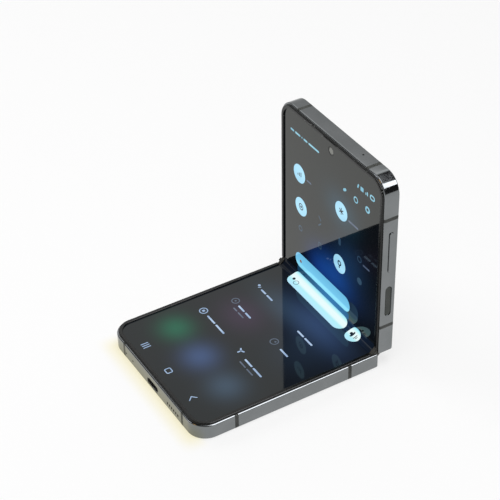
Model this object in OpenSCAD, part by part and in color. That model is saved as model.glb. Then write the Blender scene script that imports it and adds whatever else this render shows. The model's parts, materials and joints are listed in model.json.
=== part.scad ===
// Folding clamshell smartphone, half open: the lower half lies on its back, the upper half stands.
// Each half is drawn flat in its own space: X across, Y from the fold to the far end and
// Z from the back to the display. The hinge spine is drawn in the same space, with the
// lower half on its -Y side. on_lower, on_upper and on_spine carry them to the open pose.

/* [Body] */
// Width across the hinge
body_w = 71.9; // [68:0.1:78]
// Length of one half, from the fold line to its far end
half_len = 82.55; // [78:0.05:90]
// Thickness of one half, from its back to the display surface
body_t = 6.9; // [6.8:0.05:7.6]
// Radius of the two far corners, seen from above
corner_r = 8.0; // [6:0.1:11]
// Thickness of the metal frame wall
wall_t = 1.9; // [1.7:0.05:2.4]
// Rounding of the outer edge on the back
back_edge_r = 0.65; // [0.3:0.05:0.9]
// Rounding of the outer edge on the display side
top_edge_r = 0.55; // [0.2:0.05:0.55]
// Width of the metal rim seen round the back glass
back_rim_w = 1.35; // [1:0.05:1.6]
// Width of the metal lip that stands round the bezel
lip_w = 0.6; // [0.56:0.02:0.7]
// Thickness of the plate inside the frame, which carries the display
mid_t = 0.8; // [0.6:0.05:1]
// Angle between the two displays in the pose that is modelled
open_angle = 90.2; // [60:0.2:150]

/* [Display and bezel] */
// Height that the bezel stands above the display
bezel_rise = 0.6; // [0.3:0.05:0.62]
// Width of the bezel's top, from its outer face to its inner edge
bezel_w = 1.65; // [1.4:0.05:2.2]
// Width of the bezel's foot, which stands in the frame
bezel_foot_w = 0.8; // [0.6:0.05:0.85]
// Rounding of the bezel's outer top edge
bezel_r = 0.45; // [0.2:0.05:0.5]
// Thickness of the flexible display panel
panel_t = 0.6; // [0.4:0.05:0.7]
// Thickness of the stiff plate under the panel
plate_t = 0.5; // [0.3:0.05:0.55]
// Radius of the camera hole in the display
selfie_hole_r = 1.9; // [1.5:0.05:2.4]
// Distance of the display camera from the far end
selfie_end = 6.0; // [5.2:0.1:7]

/* [Hinge] */
// Half the distance between the two folding axes
axis_half = 1.6; // [1.5:0.02:1.7]
// Depth of the folding axes below the display surface
axis_drop = 0.95; // [0.9:0.01:1]
// Gap left at the fold line by each half when the phone is flat
fold_gap = 0.4; // [0.3:0.05:0.5]
// Thickness of the back wall that hides the spine when the phone is flat
heel_wall = 1.6; // [1.4:0.05:1.8]
// Length of the solid heel at the fold end of each frame
heel_len = 7.3; // [7:0.1:8]
// Rounding of the heel's back corner
heel_r = 1.3; // [0.5:0.1:1.4]
// Thickness of the spine's shell
spine_wall = 0.6; // [0.4:0.05:0.7]
// Distance from the side of the body to the spine's end
spine_side = 2.55; // [2.5:0.05:3]
// Radius of the rounded caps that cover the spine's ends
cap_r = 1.55; // [1.4:0.05:1.56]
// Depth below the folding axes of the narrow web that closes each end cap's outer side
web_drop = 0.65; // [0.4:0.05:1]
// Distance from the side of the body to the middle of each hinge bracket
bracket_side = 12.0; // [11:0.2:14]
// Width of one hinge arm
arm_w = 4.0; // [3:0.1:4.4]
// Thickness of the curved rail on a hinge arm
rail_t = 0.95; // [0.8:0.05:1]
// Angle that the curved rail runs past straight down
rail_past = 20; // [10:1:22]
// Thickness of a hinge arm's flat tongue
tongue_t = 0.65; // [0.5:0.05:0.7]
// Distance from the fold line to the tongue's free end
tongue_end = 12.4; // [12:0.1:13]
// Pitch radius of the four timing gears
gear_r = 1.0; // [0.95:0.01:1.05]
// Number of teeth on a timing gear
gear_teeth = 10; // [8:2:12]
// Face width of a timing gear
gear_w = 2.0; // [1.2:0.1:2.4]
// Radius of a gear's shaft
shaft_r = 0.45; // [0.3:0.05:0.5]
// Width of a torque arm
torque_w = 4.5; // [3:0.1:5]
// Thickness of a torque arm
torque_t = 0.7; // [0.5:0.05:0.8]
// Length of a torque arm from its shaft
torque_len = 7.0; // [6:0.1:7.5]
// Width of the flexible cable that crosses the hinge
flex_w = 7.0; // [5:0.1:7.4]

/* [Frame openings] */
// Width of an antenna band
band_w = 1.6; // [0.8:0.1:2]
// Distance from the fold line to the band near the hinge
band_near = 13.6; // [12:0.1:16]
// Distance from the far end to the band near the corner
band_far = 17.2; // [13:0.1:18]
// Distance from the side of the body to the bands in the far end
band_side = 12.2; // [10.5:0.1:13]
// Height of the port, speaker and microphone row above the back
port_z = 2.7; // [2.6:0.05:2.75]
// Outer width of the port's metal shell
port_w = 8.94; // [8.5:0.02:9.2]
// Outer height of the port's metal shell
port_h = 3.1; // [2.9:0.02:3.12]
// Depth of the port's shell
port_depth = 7.3; // [6.5:0.1:8]
// Wall of the port's shell
port_wall = 0.3; // [0.2:0.05:0.35]
// Number of speaker slots
slot_count = 6; // [3:1:6]
// Distance between speaker slots
slot_pitch = 1.65; // [1.4:0.05:1.7]
// Width of one speaker slot
slot_w = 0.85; // [0.5:0.05:1]
// Height of one speaker slot
slot_h = 1.3; // [1:0.05:1.6]
// Distance from the middle to the first speaker slot
slot_start = 12.2; // [11.5:0.1:12.5]
// Radius of a microphone hole
mic_r = 0.4; // [0.25:0.05:0.5]

/* [Buttons and tray] */
// Height of the side keys above the back
key_z = 3.2; // [3:0.05:3.3]
// Distance from the fold line to the middle of the power key
power_at = 25.8; // [24:0.1:27]
// Length of the power key
power_len = 13.8; // [11:0.1:14]
// Height of the power key
power_h = 2.3; // [1.8:0.05:2.4]
// Depth of the power key's face below the frame's side
power_sink = 0.2; // [0.1:0.05:0.3]
// Press travel of the power key
power_travel = 0.25; // [0.15:0.01:0.3]
// Distance from the fold line to the middle of the volume rocker
volume_at = 49.6; // [48.5:0.1:51]
// Length of the volume rocker
volume_len = 18.8; // [15:0.1:19]
// Height of the volume rocker
volume_h = 2.0; // [1.6:0.05:2.2]
// Height that the volume rocker stands out of the frame's side
volume_out = 0.4; // [0.2:0.05:0.6]
// Distance from the main board's near edge to the middle of the card tray
tray_on_board = 7.2; // [6.4:0.1:8.4]
// Length of the card tray's face
tray_len = 15.0; // [13:0.1:15.4]
// Height of the card tray's face
tray_h = 2.0; // [1.6:0.05:2.2]
// Reach of the card tray into the body
tray_reach = 14.0; // [12:0.1:15]
// Thickness of the card tray
tray_t = 0.9; // [0.7:0.05:1]

/* [Cameras and cover] */
// Thickness of the glass on both backs
glass_t = 0.55; // [0.4:0.05:0.6]
// Distance from the far end to the row of rear cameras
camera_end = 12.0; // [11:0.1:13]
// Distance from the side of the body to the first rear camera
camera_side = 12.5; // [12:0.1:13]
// Distance between the two rear cameras
camera_pitch = 15.0; // [14.5:0.1:16]
// Outer radius of a rear camera ring
ring_r = 6.2; // [5.4:0.1:6.6]
// Height that a camera ring stands out of the back
ring_h = 1.3; // [0.8:0.05:1.8]
// Radius of the clear glass in a camera ring
lens_r = 4.4; // [3.8:0.05:4.6]
// Radius of the flash lens
flash_r = 1.6; // [1.2:0.05:2]
// Side of a rear camera module
module_w = 10.6; // [9.5:0.1:11]
// Thickness of the small display behind the cover glass
cover_panel_t = 0.8; // [0.6:0.05:0.9]

/* [Batteries and boards] */
// Width of the large battery in the lower half
battery_w = 54; // [48:1:56]
// Length of the large battery
battery_len = 42; // [36:1:43]
// Width of the small battery in the upper half
small_battery_w = 36; // [30:1:38]
// Gap between the small battery and the main circuit board
board_gap = 2.35; // [2:0.05:4]
// Distance from the fold line to both batteries
battery_at = 14.5; // [14.2:0.1:15]
// Outer radius of the charging coil
coil_r = 18; // [14:0.5:20]
// Thickness of the circuit boards
board_t = 0.6; // [0.4:0.05:0.65]
// Length of the lower half's circuit board
sub_board_len = 17; // [14:0.5:18]
// Length of the main circuit board
main_board_len = 33; // [30:0.5:34]

/* [Clearances] */
// Gap between pieces that are fixed together
fit = 0.05; // [0.02:0.01:0.06]
// Gap between pieces that turn or slide past each other
run = 0.2; // [0.15:0.01:0.22]
// Gap between the packed blocks inside and the frame's wall
pack_gap = 0.8; // [0.6:0.05:1]

/* [Hidden] */
$fn = 64;

half_w = body_w / 2;
// The fold line lies half a half-length behind the middle of the lower half's back
y_fold = half_len / 2;

// How far a cut runs past the surface that it opens
over = 1;

// Heights in a half, from its back upwards
rim_drop = 0.15;
ledge_drop = 0.75;
rim_z = body_t - rim_drop;
panel_z = body_t - panel_t;
plate_z = panel_z - plate_t;
mid_top = plate_z - fit;
mid_z = mid_top - mid_t;
ledge_z = body_t - ledge_drop;
bezel_top = body_t + bezel_rise;
inner_z = glass_t + fit;
roof_z = mid_z - fit;

// Distances from the side of a half inwards
foot_in = lip_w + fit;
panel_side = foot_in + bezel_foot_w + fit;
bezel_side = foot_in + bezel_w;
inner_half = half_w - wall_t;
// How far the inner plate runs into the wall, with which it is one piece
root_in = 0.2;

// Folding axes and turns
axis_z = body_t - axis_drop;
turn = (180 - open_angle) / 2;
axis_low = [y_fold - axis_half, axis_z];
axis_up = axis_low + 2 * axis_half * [cos(turn), sin(turn)];

// The spine fits in a round cavity in each heel
cavity_r = axis_z - heel_wall;
spine_r = cavity_r - run;
spine_in = spine_r - spine_wall;
spine_half = half_w - spine_side;
cavity_half = spine_half + run;
cap_gap = 0.15;
notch_r = cap_r + cap_gap;
// The frame's lip runs on to the fold as a cheek over each end cap
cheek_x = half_w - lip_w;
cheek_r = axis_half - fold_gap;
// The panels, plates and bezels start where the end caps no longer reach
sheet_start = axis_half + notch_r;

// Hinge arms: a rail that slides between a hub and the spine's wall, and a flat tongue
rail_r1 = spine_in - run / 2;
rail_r0 = rail_r1 - rail_t;
hub_r = rail_r0 - run / 2;
tongue_top = mid_top - fit;
tongue_z = tongue_top - tongue_t;
spine_top = tongue_z - run;
bracket_x = half_w - bracket_side;
station = arm_w / 2 + run;
screw_r = 0.5;
screw_head_r = 0.95;
screw_head_t = 0.35;
screw_below = 1.8;
screw_from_end = [1.4, 4.0];
slot_depth = 0.2;
cross_len = 1.2;
cross_w = 0.24;
boss_r = screw_r + 0.9;
boss_h = 1.6;
seat_edge = 0.6;
seat_t = 0.9;

// Timing gears in the spine
gear_add = 0.16;
gear_ded = 0.22;
gear_out = gear_r + gear_add;
gear_reach = spine_in - gear_out - run;
gear_side = 3 * gear_r - axis_half;
gear_z = axis_z - sqrt(gear_reach * gear_reach - gear_side * gear_side);
housing_wall = 1.1;
housing_half = gear_w / 2 + run + housing_wall;
bracket_drop = 0.35;
bracket_top = axis_z - bracket_drop;
torque_x0 = housing_half + run;
torque_reach = 3 * gear_r + torque_len;
torque_pocket_z = [axis_z - gear_reach - torque_t / 2 - run, axis_z - gear_side + torque_t / 2 + run];

// Cable across the hinge, through a slot in each heel
flex_t = 0.2;
flex_gap = 2.2;
flex_x0 = torque_x0 + torque_w + flex_gap;
flex_slot_z = 3.05;
flex_slot_half = 0.3;
flex_lift = 0.45;
flex_drop = axis_z - flex_slot_z;
flex_out = sqrt(cavity_r * cavity_r - flex_drop * flex_drop);
flex_end_y = axis_half + flex_out * cos(turn) + flex_drop * sin(turn);
flex_end_z = axis_z + flex_out * sin(turn) - flex_drop * cos(turn);
flex_low_z = axis_z - spine_in + flex_lift;
flex_rise = flex_end_z - flex_low_z;
flex_r = (flex_end_y * flex_end_y + flex_rise * flex_rise) / (2 * flex_rise);
flex_half_angle = asin(flex_end_y / flex_r);

// The display bends on a radius that keeps its middle at the spine's height
crease_z = axis_z - (axis_half * sin(turn) - axis_drop) / cos(turn);
fold_r = (body_t - crease_z) / (1 / cos(turn) - 1);
fold_x = spine_half - fit;

// Row of openings at the far end
mic_x = [-22.3, -16.6];
top_mic_x = 15.8;
top_mic_z = 3.0;
slot_end = slot_start + (slot_count - 1) * slot_pitch;

// Cameras
camera_x = [half_w - camera_side, half_w - camera_side - camera_pitch];
camera_y = half_len - camera_end;
selfie_y = half_len - selfie_end;
neck_wall = 0.45;
neck_r = lens_r + neck_wall;
flash_gap = 2.2;
flash_x = camera_x[1] - ring_r - flash_r - flash_gap;
cover_panel_top = inner_z + cover_panel_t;

// Placing of the three bodies in the open pose
module on_lower() { translate([0, y_fold, 0]) mirror([0, 1, 0]) children(); }
module on_upper() {
    translate([0, axis_up[0], axis_up[1]]) rotate([2 * turn, 0, 0])
        translate([0, -axis_half, -axis_z]) children();
}
module on_spine() {
    translate([0, axis_low[0], axis_low[1]]) rotate([turn, 0, 0])
        translate([0, axis_half, -axis_z]) children();
}

// Points of an arc
function around(r, a) = r * [cos(a), sin(a)];
function arc(c, r, from, to, steps = 8) =
    [for (i = [0:steps]) c + around(r, from + (to - from) * i / steps)];

// A flat shape drawn in Y and Z, pulled along X from x0 to x1
module along_x(x0, x1) { translate([x0, 0, 0]) rotate([90, 0, 90]) linear_extrude(x1 - x0) children(); }
// A shape drawn as distance inwards and height, led round the sides and the far end of a half
module round_half(start) {
    straight = half_len - corner_r;
    translate([half_w, straight, 0]) rotate([90, 0, 0]) linear_extrude(straight - start)
        mirror([1, 0]) children();
    translate([-half_w, straight, 0]) rotate([90, 0, 0]) linear_extrude(straight - start) children();
    along_x(corner_r - half_w, half_w - corner_r) translate([half_len, 0]) mirror([1, 0]) children();
    for (side = [0, 1])
        translate([(1 - 2 * side) * (half_w - corner_r), straight, 0]) rotate([0, 0, 90 * side])
            rotate_extrude(angle = 90) translate([corner_r, 0]) mirror([1, 0]) children();
}
// Outline of a half, drawn in by a distance and started away from the fold
module half_outline(inset, start) {
    r = corner_r - inset;
    translate([inset - half_w, start]) square([body_w - 2 * inset, half_len - corner_r - start]);
    translate([corner_r - half_w, start]) square([body_w - 2 * corner_r, half_len - inset - start]);
    for (side = [-1, 1]) translate([side * (half_w - corner_r), half_len - corner_r]) circle(r);
}
module half_sheet(inset, start, z0, z1) {
    translate([0, 0, z0]) linear_extrude(z1 - z0) half_outline(inset, start);
}
module block(x, y, z) { translate([x[0], y[0], z[0]]) cube([x[1] - x[0], y[1] - y[0], z[1] - z[0]]); }
// A pill in a side wall: long in Y, high in Z, from x0 to x1
module side_pill(at, z, len, h, x0, x1) {
    along_x(x0, x1) {
        translate([at - len / 2 + h / 2, z - h / 2]) square([len - h, h]);
        for (end = [-1, 1]) translate([at + end * (len - h) / 2, z]) circle(h / 2);
    }
}
// A pill in the far end wall: wide in X, high in Z, from y0 to y1
module end_pill(at, z, w, h, y0, y1) {
    translate([0, y1, 0]) rotate([90, 0, 0]) linear_extrude(y1 - y0) {
        translate([at - (w - h) / 2, z - h / 2]) square([w - h, h]);
        for (end = [-1, 1]) translate([at + end * (w - h) / 2, z]) circle(h / 2);
    }
}
// An upright slot in the far end wall
module end_slot(at, z, w, h, y0, y1) {
    translate([0, y1, 0]) rotate([90, 0, 0]) linear_extrude(y1 - y0) {
        translate([at - w / 2, z - (h - w) / 2]) square([w, h - w]);
        for (end = [-1, 1]) translate([at, z + end * (h - w) / 2]) circle(w / 2);
    }
}

// Frame of a half
module rail_shape() {
    difference() {
        polygon(concat(
            [[wall_t, 0]],
            arc([back_edge_r, back_edge_r], back_edge_r, 270, 180),
            arc([top_edge_r, rim_z - top_edge_r], top_edge_r, 180, 90),
            [[lip_w, rim_z], [lip_w, ledge_z], [foot_in + bezel_foot_w, ledge_z],
             [foot_in + bezel_foot_w, mid_top], [wall_t, mid_top]]));
        translate([back_rim_w, -over]) square([wall_t, over + inner_z]);
    }
}
module bands() {
    for (side = [-1, 1])
        translate([side * half_w - wall_t - over, 0, -over]) {
            for (y = [band_near, half_len - band_far])
                translate([0, y - band_w / 2, 0]) cube([2 * (wall_t + over), band_w, body_t + 2 * over]);
        }
    for (side = [-1, 1])
        translate([side * (half_w - band_side) - band_w / 2, half_len - wall_t - over, -over])
            cube([band_w, wall_t + 2 * over, body_t + 2 * over]);
}
module heel_cavity() {
    along_x(-cavity_half, cavity_half) {
        translate([axis_half, axis_z]) circle(cavity_r);
        translate([-over, heel_wall]) square([over + axis_half, body_t]);
    }
}
// Pulls a flat shape from one distance to another on both sides of the middle
module both_sides(x0, x1) {
    along_x(x0, x1) children();
    along_x(-x1, -x0) children();
}
module cap_notch() {
    both_sides(spine_half, cheek_x) {
        translate([axis_half, axis_z]) circle(notch_r);
        translate([-over, axis_z - notch_r]) square([over + axis_half, body_t]);
        translate([-over, axis_z]) square([over + sheet_start, body_t]);
    }
    // Above the axis a cheek is round, so that it turns clear of the other half's cheek
    both_sides(spine_half, half_w + over) difference() {
        translate([-over, axis_z]) square([over + axis_half, body_t]);
        translate([axis_half, axis_z]) circle(cheek_r);
    }
}
module heel_rounding() {
    along_x(-half_w - over, half_w + over)
        polygon(concat([[fold_gap - over, -over], [fold_gap - over, heel_r]],
            arc([fold_gap + heel_r, heel_r], heel_r, 180, 270), [[fold_gap + heel_r, -over]]));
}
module arm_seats() {
    for (side = [-1, 1])
        block([side * bracket_x - 2 * station - seat_edge, side * bracket_x + 2 * station + seat_edge],
              [heel_len - over, tongue_end + seat_edge], [tongue_z - fit - seat_t, mid_top]);
    for (side = [-1, 1], at = screw_from_end, half = [-1, 1])
        translate([side * bracket_x + half * station, tongue_end - at, tongue_z - screw_below - fit])
            cylinder(r = boss_r, h = boss_h);
}
// Cuts for the arms: lower arms lie on the -X side of their bracket, upper arms on the +X side
module arm_pockets(half) {
    for (side = [-1, 1]) {
        x = side * bracket_x + half * station;
        block([x - arm_w / 2 - fit, x + arm_w / 2 + fit], [axis_half, tongue_end + fit],
              [tongue_z - fit, body_t]);
        for (at = screw_from_end)
            translate([x, tongue_end - at, tongue_z - screw_below - over])
                cylinder(r = screw_r + fit, h = screw_below + 2 * over);
    }
    x = half * (torque_x0 + torque_w / 2);
    block([x - torque_w / 2 - run, x + torque_w / 2 + run], [axis_half, torque_reach + run],
          torque_pocket_z);
    block([flex_x0 - run, flex_x0 + flex_w + run], [axis_half, heel_len + over],
          [flex_slot_z - flex_slot_half, flex_slot_z + flex_slot_half]);
}
module half_frame(half) {
    difference() {
        union() {
            round_half(fold_gap) rail_shape();
            half_sheet(wall_t - root_in, fold_gap, mid_z, mid_top);
            block([-inner_half - root_in, inner_half + root_in], [fold_gap, heel_len], [0, mid_top]);
            arm_seats();
        }
        // Seat of the back glass
        half_sheet(back_rim_w, heel_wall, -over, inner_z);
        heel_cavity();
        cap_notch();
        heel_rounding();
        arm_pockets(half);
    }
}
module half_bands() {
    intersection() {
        round_half(heel_len) rail_shape();
        bands();
    }
}
module bezel_shape() {
    inner_r = 0.25;
    polygon(concat(
        [[foot_in, ledge_z + fit], [foot_in + bezel_foot_w - fit, ledge_z + fit],
         [foot_in + bezel_foot_w - fit, body_t + fit], [bezel_side, body_t + fit]],
        arc([bezel_side - inner_r, bezel_top - inner_r], inner_r, 0, 90),
        arc([foot_in + bezel_r, bezel_top - bezel_r], bezel_r, 90, 180)));
}
module half_bezel() { round_half(sheet_start) bezel_shape(); }
module glass_sheet() { half_sheet(back_rim_w + fit, heel_wall + fit, 0, glass_t); }

module mic_hole(x, z) {
    translate([x, half_len + over, z]) rotate([90, 0, 0]) cylinder(r = mic_r, h = wall_t + 2 * over);
}

module frame_lower() {
    color("#5b5f63") on_lower() difference() {
        half_frame(-1);
        bands();
        end_pill(0, port_z, port_w + 2 * fit, port_h + 2 * fit, half_len - wall_t - over, half_len + over);
        for (i = [0:slot_count - 1])
            end_slot(slot_start + i * slot_pitch, port_z, slot_w, slot_h,
                     half_len - wall_t - over, half_len + over);
        for (x = mic_x)
            mic_hole(x, port_z);
    }
}
module antenna_bands_lower() { color("#33363a") on_lower() half_bands(); }
module bezel_lower() { color("#101113") on_lower() half_bezel(); }
module back_glass() { color("#2b2e33") on_lower() glass_sheet(); }
module display_panel_lower() {
    color("#16181b") on_lower() half_sheet(panel_side, sheet_start, panel_z, body_t);
}
module display_plate_lower() {
    color("#8a8d90") on_lower() half_sheet(panel_side, sheet_start, plate_z, panel_z - fit / 2);
}

battery_top = roof_z;
coil_t = 0.35;
coil_top = inner_z + coil_t;
coil_hole = 0.55;
module battery_lower() {
    color("#3a3d42") on_lower()
        block([-battery_w / 2, battery_w / 2], [battery_at, battery_at + battery_len],
              [coil_top + fit, battery_top]);
}
module charging_coil() {
    color("#b87333") on_lower() translate([0, battery_at + battery_len / 2, inner_z]) difference() {
        cylinder(r = coil_r, h = coil_top - inner_z);
        translate([0, 0, -over]) cylinder(r = coil_r * coil_hole, h = coil_t + 2 * over);
    }
}
mesh_t = 0.45;
end_wall = half_len - wall_t;
// Room in front of the loudspeaker, which holds the speaker mesh
front_gap = fit + mesh_t + 2 * fit;
sub_y1 = end_wall - front_gap;
sub_y0 = sub_y1 - sub_board_len;
sub_z = roof_z - board_t;
module sub_board() { color("#1f4d3a") on_lower() half_sheet(wall_t + pack_gap, sub_y0, sub_z, roof_z); }
port_y = half_len - 0.15;
port_floor = 0.6;
tongue_half = 0.35;
module usb_port_shell() {
    inner_w = port_w - 2 * port_wall;
    inner_h = port_h - 2 * port_wall;
    root_half = tongue_half + 2 * fit;
    color("#9a9da0") on_lower() difference() {
        end_pill(0, port_z, port_w, port_h, port_y - port_depth, port_y);
        end_pill(0, port_z, inner_w, inner_h, port_y - port_depth + port_floor, port_y + over);
        block([-port_w / 4, port_w / 4], [port_y - port_depth - over, port_y - port_depth + over],
              [port_z - root_half, port_z + root_half]);
    }
}
module usb_tongue() {
    tongue_sink = 0.9;
    color("#141414") on_lower()
        block([fit - port_w / 4, port_w / 4 - fit],
              [port_y - port_depth - port_floor, port_y - tongue_sink],
              [port_z - tongue_half, port_z + tongue_half]);
}
module loudspeaker() {
    duct_depth = 1.8;
    duct_edge = 0.7;
    duct_wall = 0.8;
    side_gap = 2;
    z = [inner_z + run, sub_z - fit];
    color("#26282b") on_lower() difference() {
        intersection() {
            block([slot_start - duct_edge - duct_wall, inner_half - side_gap], [sub_y0, sub_y1], z);
            half_sheet(wall_t + front_gap, sub_y0, z[0], z[1]);
        }
        block([slot_start - duct_edge, slot_end + duct_edge], [sub_y1 - duct_depth, half_len],
              [port_z - slot_h / 2, port_z + slot_h / 2]);
    }
}
module speaker_mesh() {
    mesh_edge = 1;
    mesh_rise = 0.3;
    color("#1a1a1a") on_lower()
        block([slot_start - mesh_edge, slot_end + mesh_edge], [end_wall - fit - mesh_t, end_wall - fit],
              [port_z - slot_h / 2 - mesh_rise, port_z + slot_h / 2 + mesh_rise]);
}
module bottom_microphones() {
    mic_half = 1.4;
    mic_len = 2.2;
    mic_below = 0.9;
    y1 = end_wall - fit;
    color("#c9b46a") on_lower() for (x = mic_x)
        difference() {
            block([x - mic_half, x + mic_half], [y1 - mic_len, y1], [port_z - mic_below, sub_z - fit]);
            translate([x, y1 + over, port_z]) rotate([90, 0, 0]) cylinder(r = mic_r, h = 2 * over);
        }
}
module vibration_motor() {
    motor_w = 10;
    motor_len = 8;
    side_gap = 2;
    color("#a5a8ab") on_lower()
        block([side_gap - inner_half, side_gap - inner_half + motor_w], [sub_y0, sub_y0 + motor_len],
              [inner_z + run, sub_z - fit]);
}

// Hinge arms and their screws, drawn in a half's space
module hinge_arm(half, side) {
    x = side * bracket_x + half * station;
    rail_span = 90 + rail_past;
    wedge = 2 * rail_r1;
    // The tongue starts within the rail's thickness
    tongue_y0 = axis_half + sqrt(rail_r0 * rail_r0 - pow(axis_z - tongue_z, 2)) + rail_t / 3;
    difference() {
        union() {
            along_x(x - arm_w / 2, x + arm_w / 2) translate([axis_half, axis_z])
                intersection() {
                    difference() {
                        circle(rail_r1);
                        circle(rail_r0);
                    }
                    polygon([[0, 0], [wedge, 0], [wedge, -wedge], [0, -wedge],
                             wedge * [cos(rail_span), -sin(rail_span)]]);
                }
            block([x - arm_w / 2, x + arm_w / 2], [tongue_y0, tongue_end], [tongue_z, tongue_top]);
        }
        // The rail ends level with the tongue's top
        block([x - arm_w, x + arm_w], [0, tongue_end], [tongue_top, body_t]);
        for (at = screw_from_end) translate([x, tongue_end - at, 0]) {
            cylinder(r = screw_r + fit, h = body_t);
            translate([0, 0, tongue_top - screw_head_t - fit]) cylinder(r = screw_head_r + fit, h = over);
        }
    }
}
module arm_screws(half) {
    for (side = [-1, 1], at = screw_from_end)
        translate([side * bracket_x + half * station, tongue_end - at, 0]) {
            translate([0, 0, tongue_top - screw_head_t]) difference() {
                cylinder(r = screw_head_r, h = screw_head_t);
                for (a = [0, 90]) rotate([0, 0, a])
                    translate([-cross_len / 2, -cross_w / 2, screw_head_t - slot_depth])
                        cube([cross_len, cross_w, over]);
            }
            translate([0, 0, tongue_z - screw_below])
                cylinder(r = screw_r, h = screw_below + tongue_t - screw_head_t);
        }
}
module hinge_arm_lower_left() { color("#b9bcbf") on_lower() hinge_arm(-1, -1); }
module hinge_arm_lower_right() { color("#b9bcbf") on_lower() hinge_arm(-1, 1); }
module arm_screws_lower() { color("#d6d8da") on_lower() arm_screws(-1); }

// Upper half
seat_margin = 0.35;
hole_step = 0.3;
module frame_upper() {
    color("#5b5f63") on_upper() difference() {
        half_frame(1);
        bands();
        // Power key: a shallow seat and a window
        side_pill(power_at, key_z, power_len + 2 * seat_margin, power_h + 2 * seat_margin,
                  half_w - power_sink - 2 * fit, half_w + over);
        side_pill(power_at, key_z, power_len + 2 * run, power_h + 2 * run, half_w - wall_t - over, half_w);
        side_pill(volume_at, key_z, volume_len + 6 * fit, volume_h + 4 * fit,
                  half_w - wall_t - over, half_w + over);
        side_pill(tray_at, key_z, tray_len + 2 * fit, tray_h + 2 * fit,
                  -half_w - over, wall_t + over - half_w);
        mic_hole(top_mic_x, top_mic_z);
        translate([0, selfie_y, mid_z - over]) cylinder(r = selfie_hole_r + hole_step, h = body_t);
    }
}
module antenna_bands_upper() { color("#33363a") on_upper() half_bands(); }
module bezel_upper() {
    slit = 9;
    slit_in = [0.4, 0.75];
    color("#101113") on_upper() difference() {
        half_bezel();
        // Slit of the earpiece
        block([-slit / 2, slit / 2], [half_len - foot_in - slit_in[1], half_len - foot_in - slit_in[0]],
              [ledge_z - over, bezel_top + over]);
    }
}
module cover_glass() {
    color("#1b1d21") on_upper() difference() {
        glass_sheet();
        for (x = camera_x)
            translate([x, camera_y, -over]) cylinder(r = neck_r + fit, h = glass_t + 2 * over);
        translate([flash_x, camera_y, -over]) cylinder(r = flash_r + fit, h = glass_t + 2 * over);
    }
}
module cover_display() {
    r = 4;
    side_gap = 3;
    heel_gap = 1;
    ring_gap = 2;
    x1 = inner_half - side_gap;
    y = [heel_len + heel_gap, camera_y - ring_r - ring_gap];
    color("#0f1114") on_upper() translate([0, 0, inner_z]) linear_extrude(cover_panel_t) {
        translate([-x1, y[0] + r]) square([2 * x1, y[1] - y[0] - 2 * r]);
        translate([r - x1, y[0]]) square([2 * (x1 - r), y[1] - y[0]]);
        for (sx = [-1, 1], cy = [y[0] + r, y[1] - r]) translate([sx * (x1 - r), cy]) circle(r);
    }
}
module display_panel_upper() {
    color("#16181b") on_upper() difference() {
        half_sheet(panel_side, sheet_start, panel_z, body_t);
        translate([0, selfie_y, panel_z - over]) cylinder(r = selfie_hole_r, h = panel_t + 2 * over);
    }
}
module display_plate_upper() {
    color("#8a8d90") on_upper() difference() {
        half_sheet(panel_side, sheet_start, plate_z, panel_z - fit / 2);
        translate([0, selfie_y, plate_z - over])
            cylinder(r = selfie_hole_r + hole_step, h = plate_t + 2 * over);
    }
}
board_y1 = end_wall - pack_gap;
board_y0 = board_y1 - main_board_len;
tray_at = board_y0 + tray_on_board;
battery_side = 3;
module battery_upper() {
    color("#3a3d42") on_upper()
        block([battery_side - inner_half, battery_side - inner_half + small_battery_w],
              [battery_at, board_y0 - board_gap], [cover_panel_top + fit, battery_top]);
}
board_z = roof_z - board_t;
module main_board() {
    gap = 2 * run;
    color("#1f4d3a") on_upper() difference() {
        half_sheet(wall_t + pack_gap, board_y0, board_z, roof_z);
        for (x = camera_x)
            block([x - module_w / 2 - gap, x + module_w / 2 + gap],
                  [camera_y - module_w / 2 - gap, camera_y + module_w / 2 + gap], [0, body_t]);
        translate([0, selfie_y, 0]) cylinder(r = selfie_hole_r + gap, h = body_t);
        // Room for the key switches' strip
        block([strip_x[0] - gap, inner_half], [0, volume_at + volume_len / 2 + over], [0, body_t]);
    }
}
cage_x1 = tray_reach + 1 - half_w;
module shield_cans() {
    can_len = 12;
    can_gap = 1.5;
    can_drop = 0.6;
    y = [board_y0 + can_gap, board_y0 + can_gap + can_len];
    z = [cover_panel_top + can_drop, board_z - fit];
    color("#b4b7ba") on_upper() {
        block([cage_x1 + can_gap, 2], y, z);
        block([2 + can_gap, strip_x[0] - can_gap], y, z);
    }
}
selfie_r = selfie_hole_r - 0.15;
selfie_rim = 0.35;
selfie_seat_z = body_t - 0.45;
module selfie_camera() {
    color("#17181a") on_upper() difference() {
        translate([0, selfie_y, board_z]) cylinder(r = selfie_r, h = body_t - board_z - fit);
        translate([0, selfie_y, selfie_seat_z]) cylinder(r = selfie_r - selfie_rim, h = over);
    }
}
module selfie_lens() {
    lens_t = 0.35;
    color("#0b0d12") on_upper() translate([0, selfie_y, selfie_seat_z])
        cylinder(r = selfie_r - selfie_rim - fit, h = lens_t);
}
module camera_module(i) {
    barrel_r = lens_r - 0.8;
    base_z = inner_z + 0.5;
    barrel_z = -0.1;
    color("#222427") on_upper() {
        block([camera_x[i] - module_w / 2, camera_x[i] + module_w / 2],
              [camera_y - module_w / 2, camera_y + module_w / 2], [base_z, roof_z]);
        translate([camera_x[i], camera_y, barrel_z]) cylinder(r = barrel_r, h = base_z - barrel_z + over);
    }
}
module camera_wide() { camera_module(0); }
module camera_ultrawide() { camera_module(1); }
lens_sink = 0.2;
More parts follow.
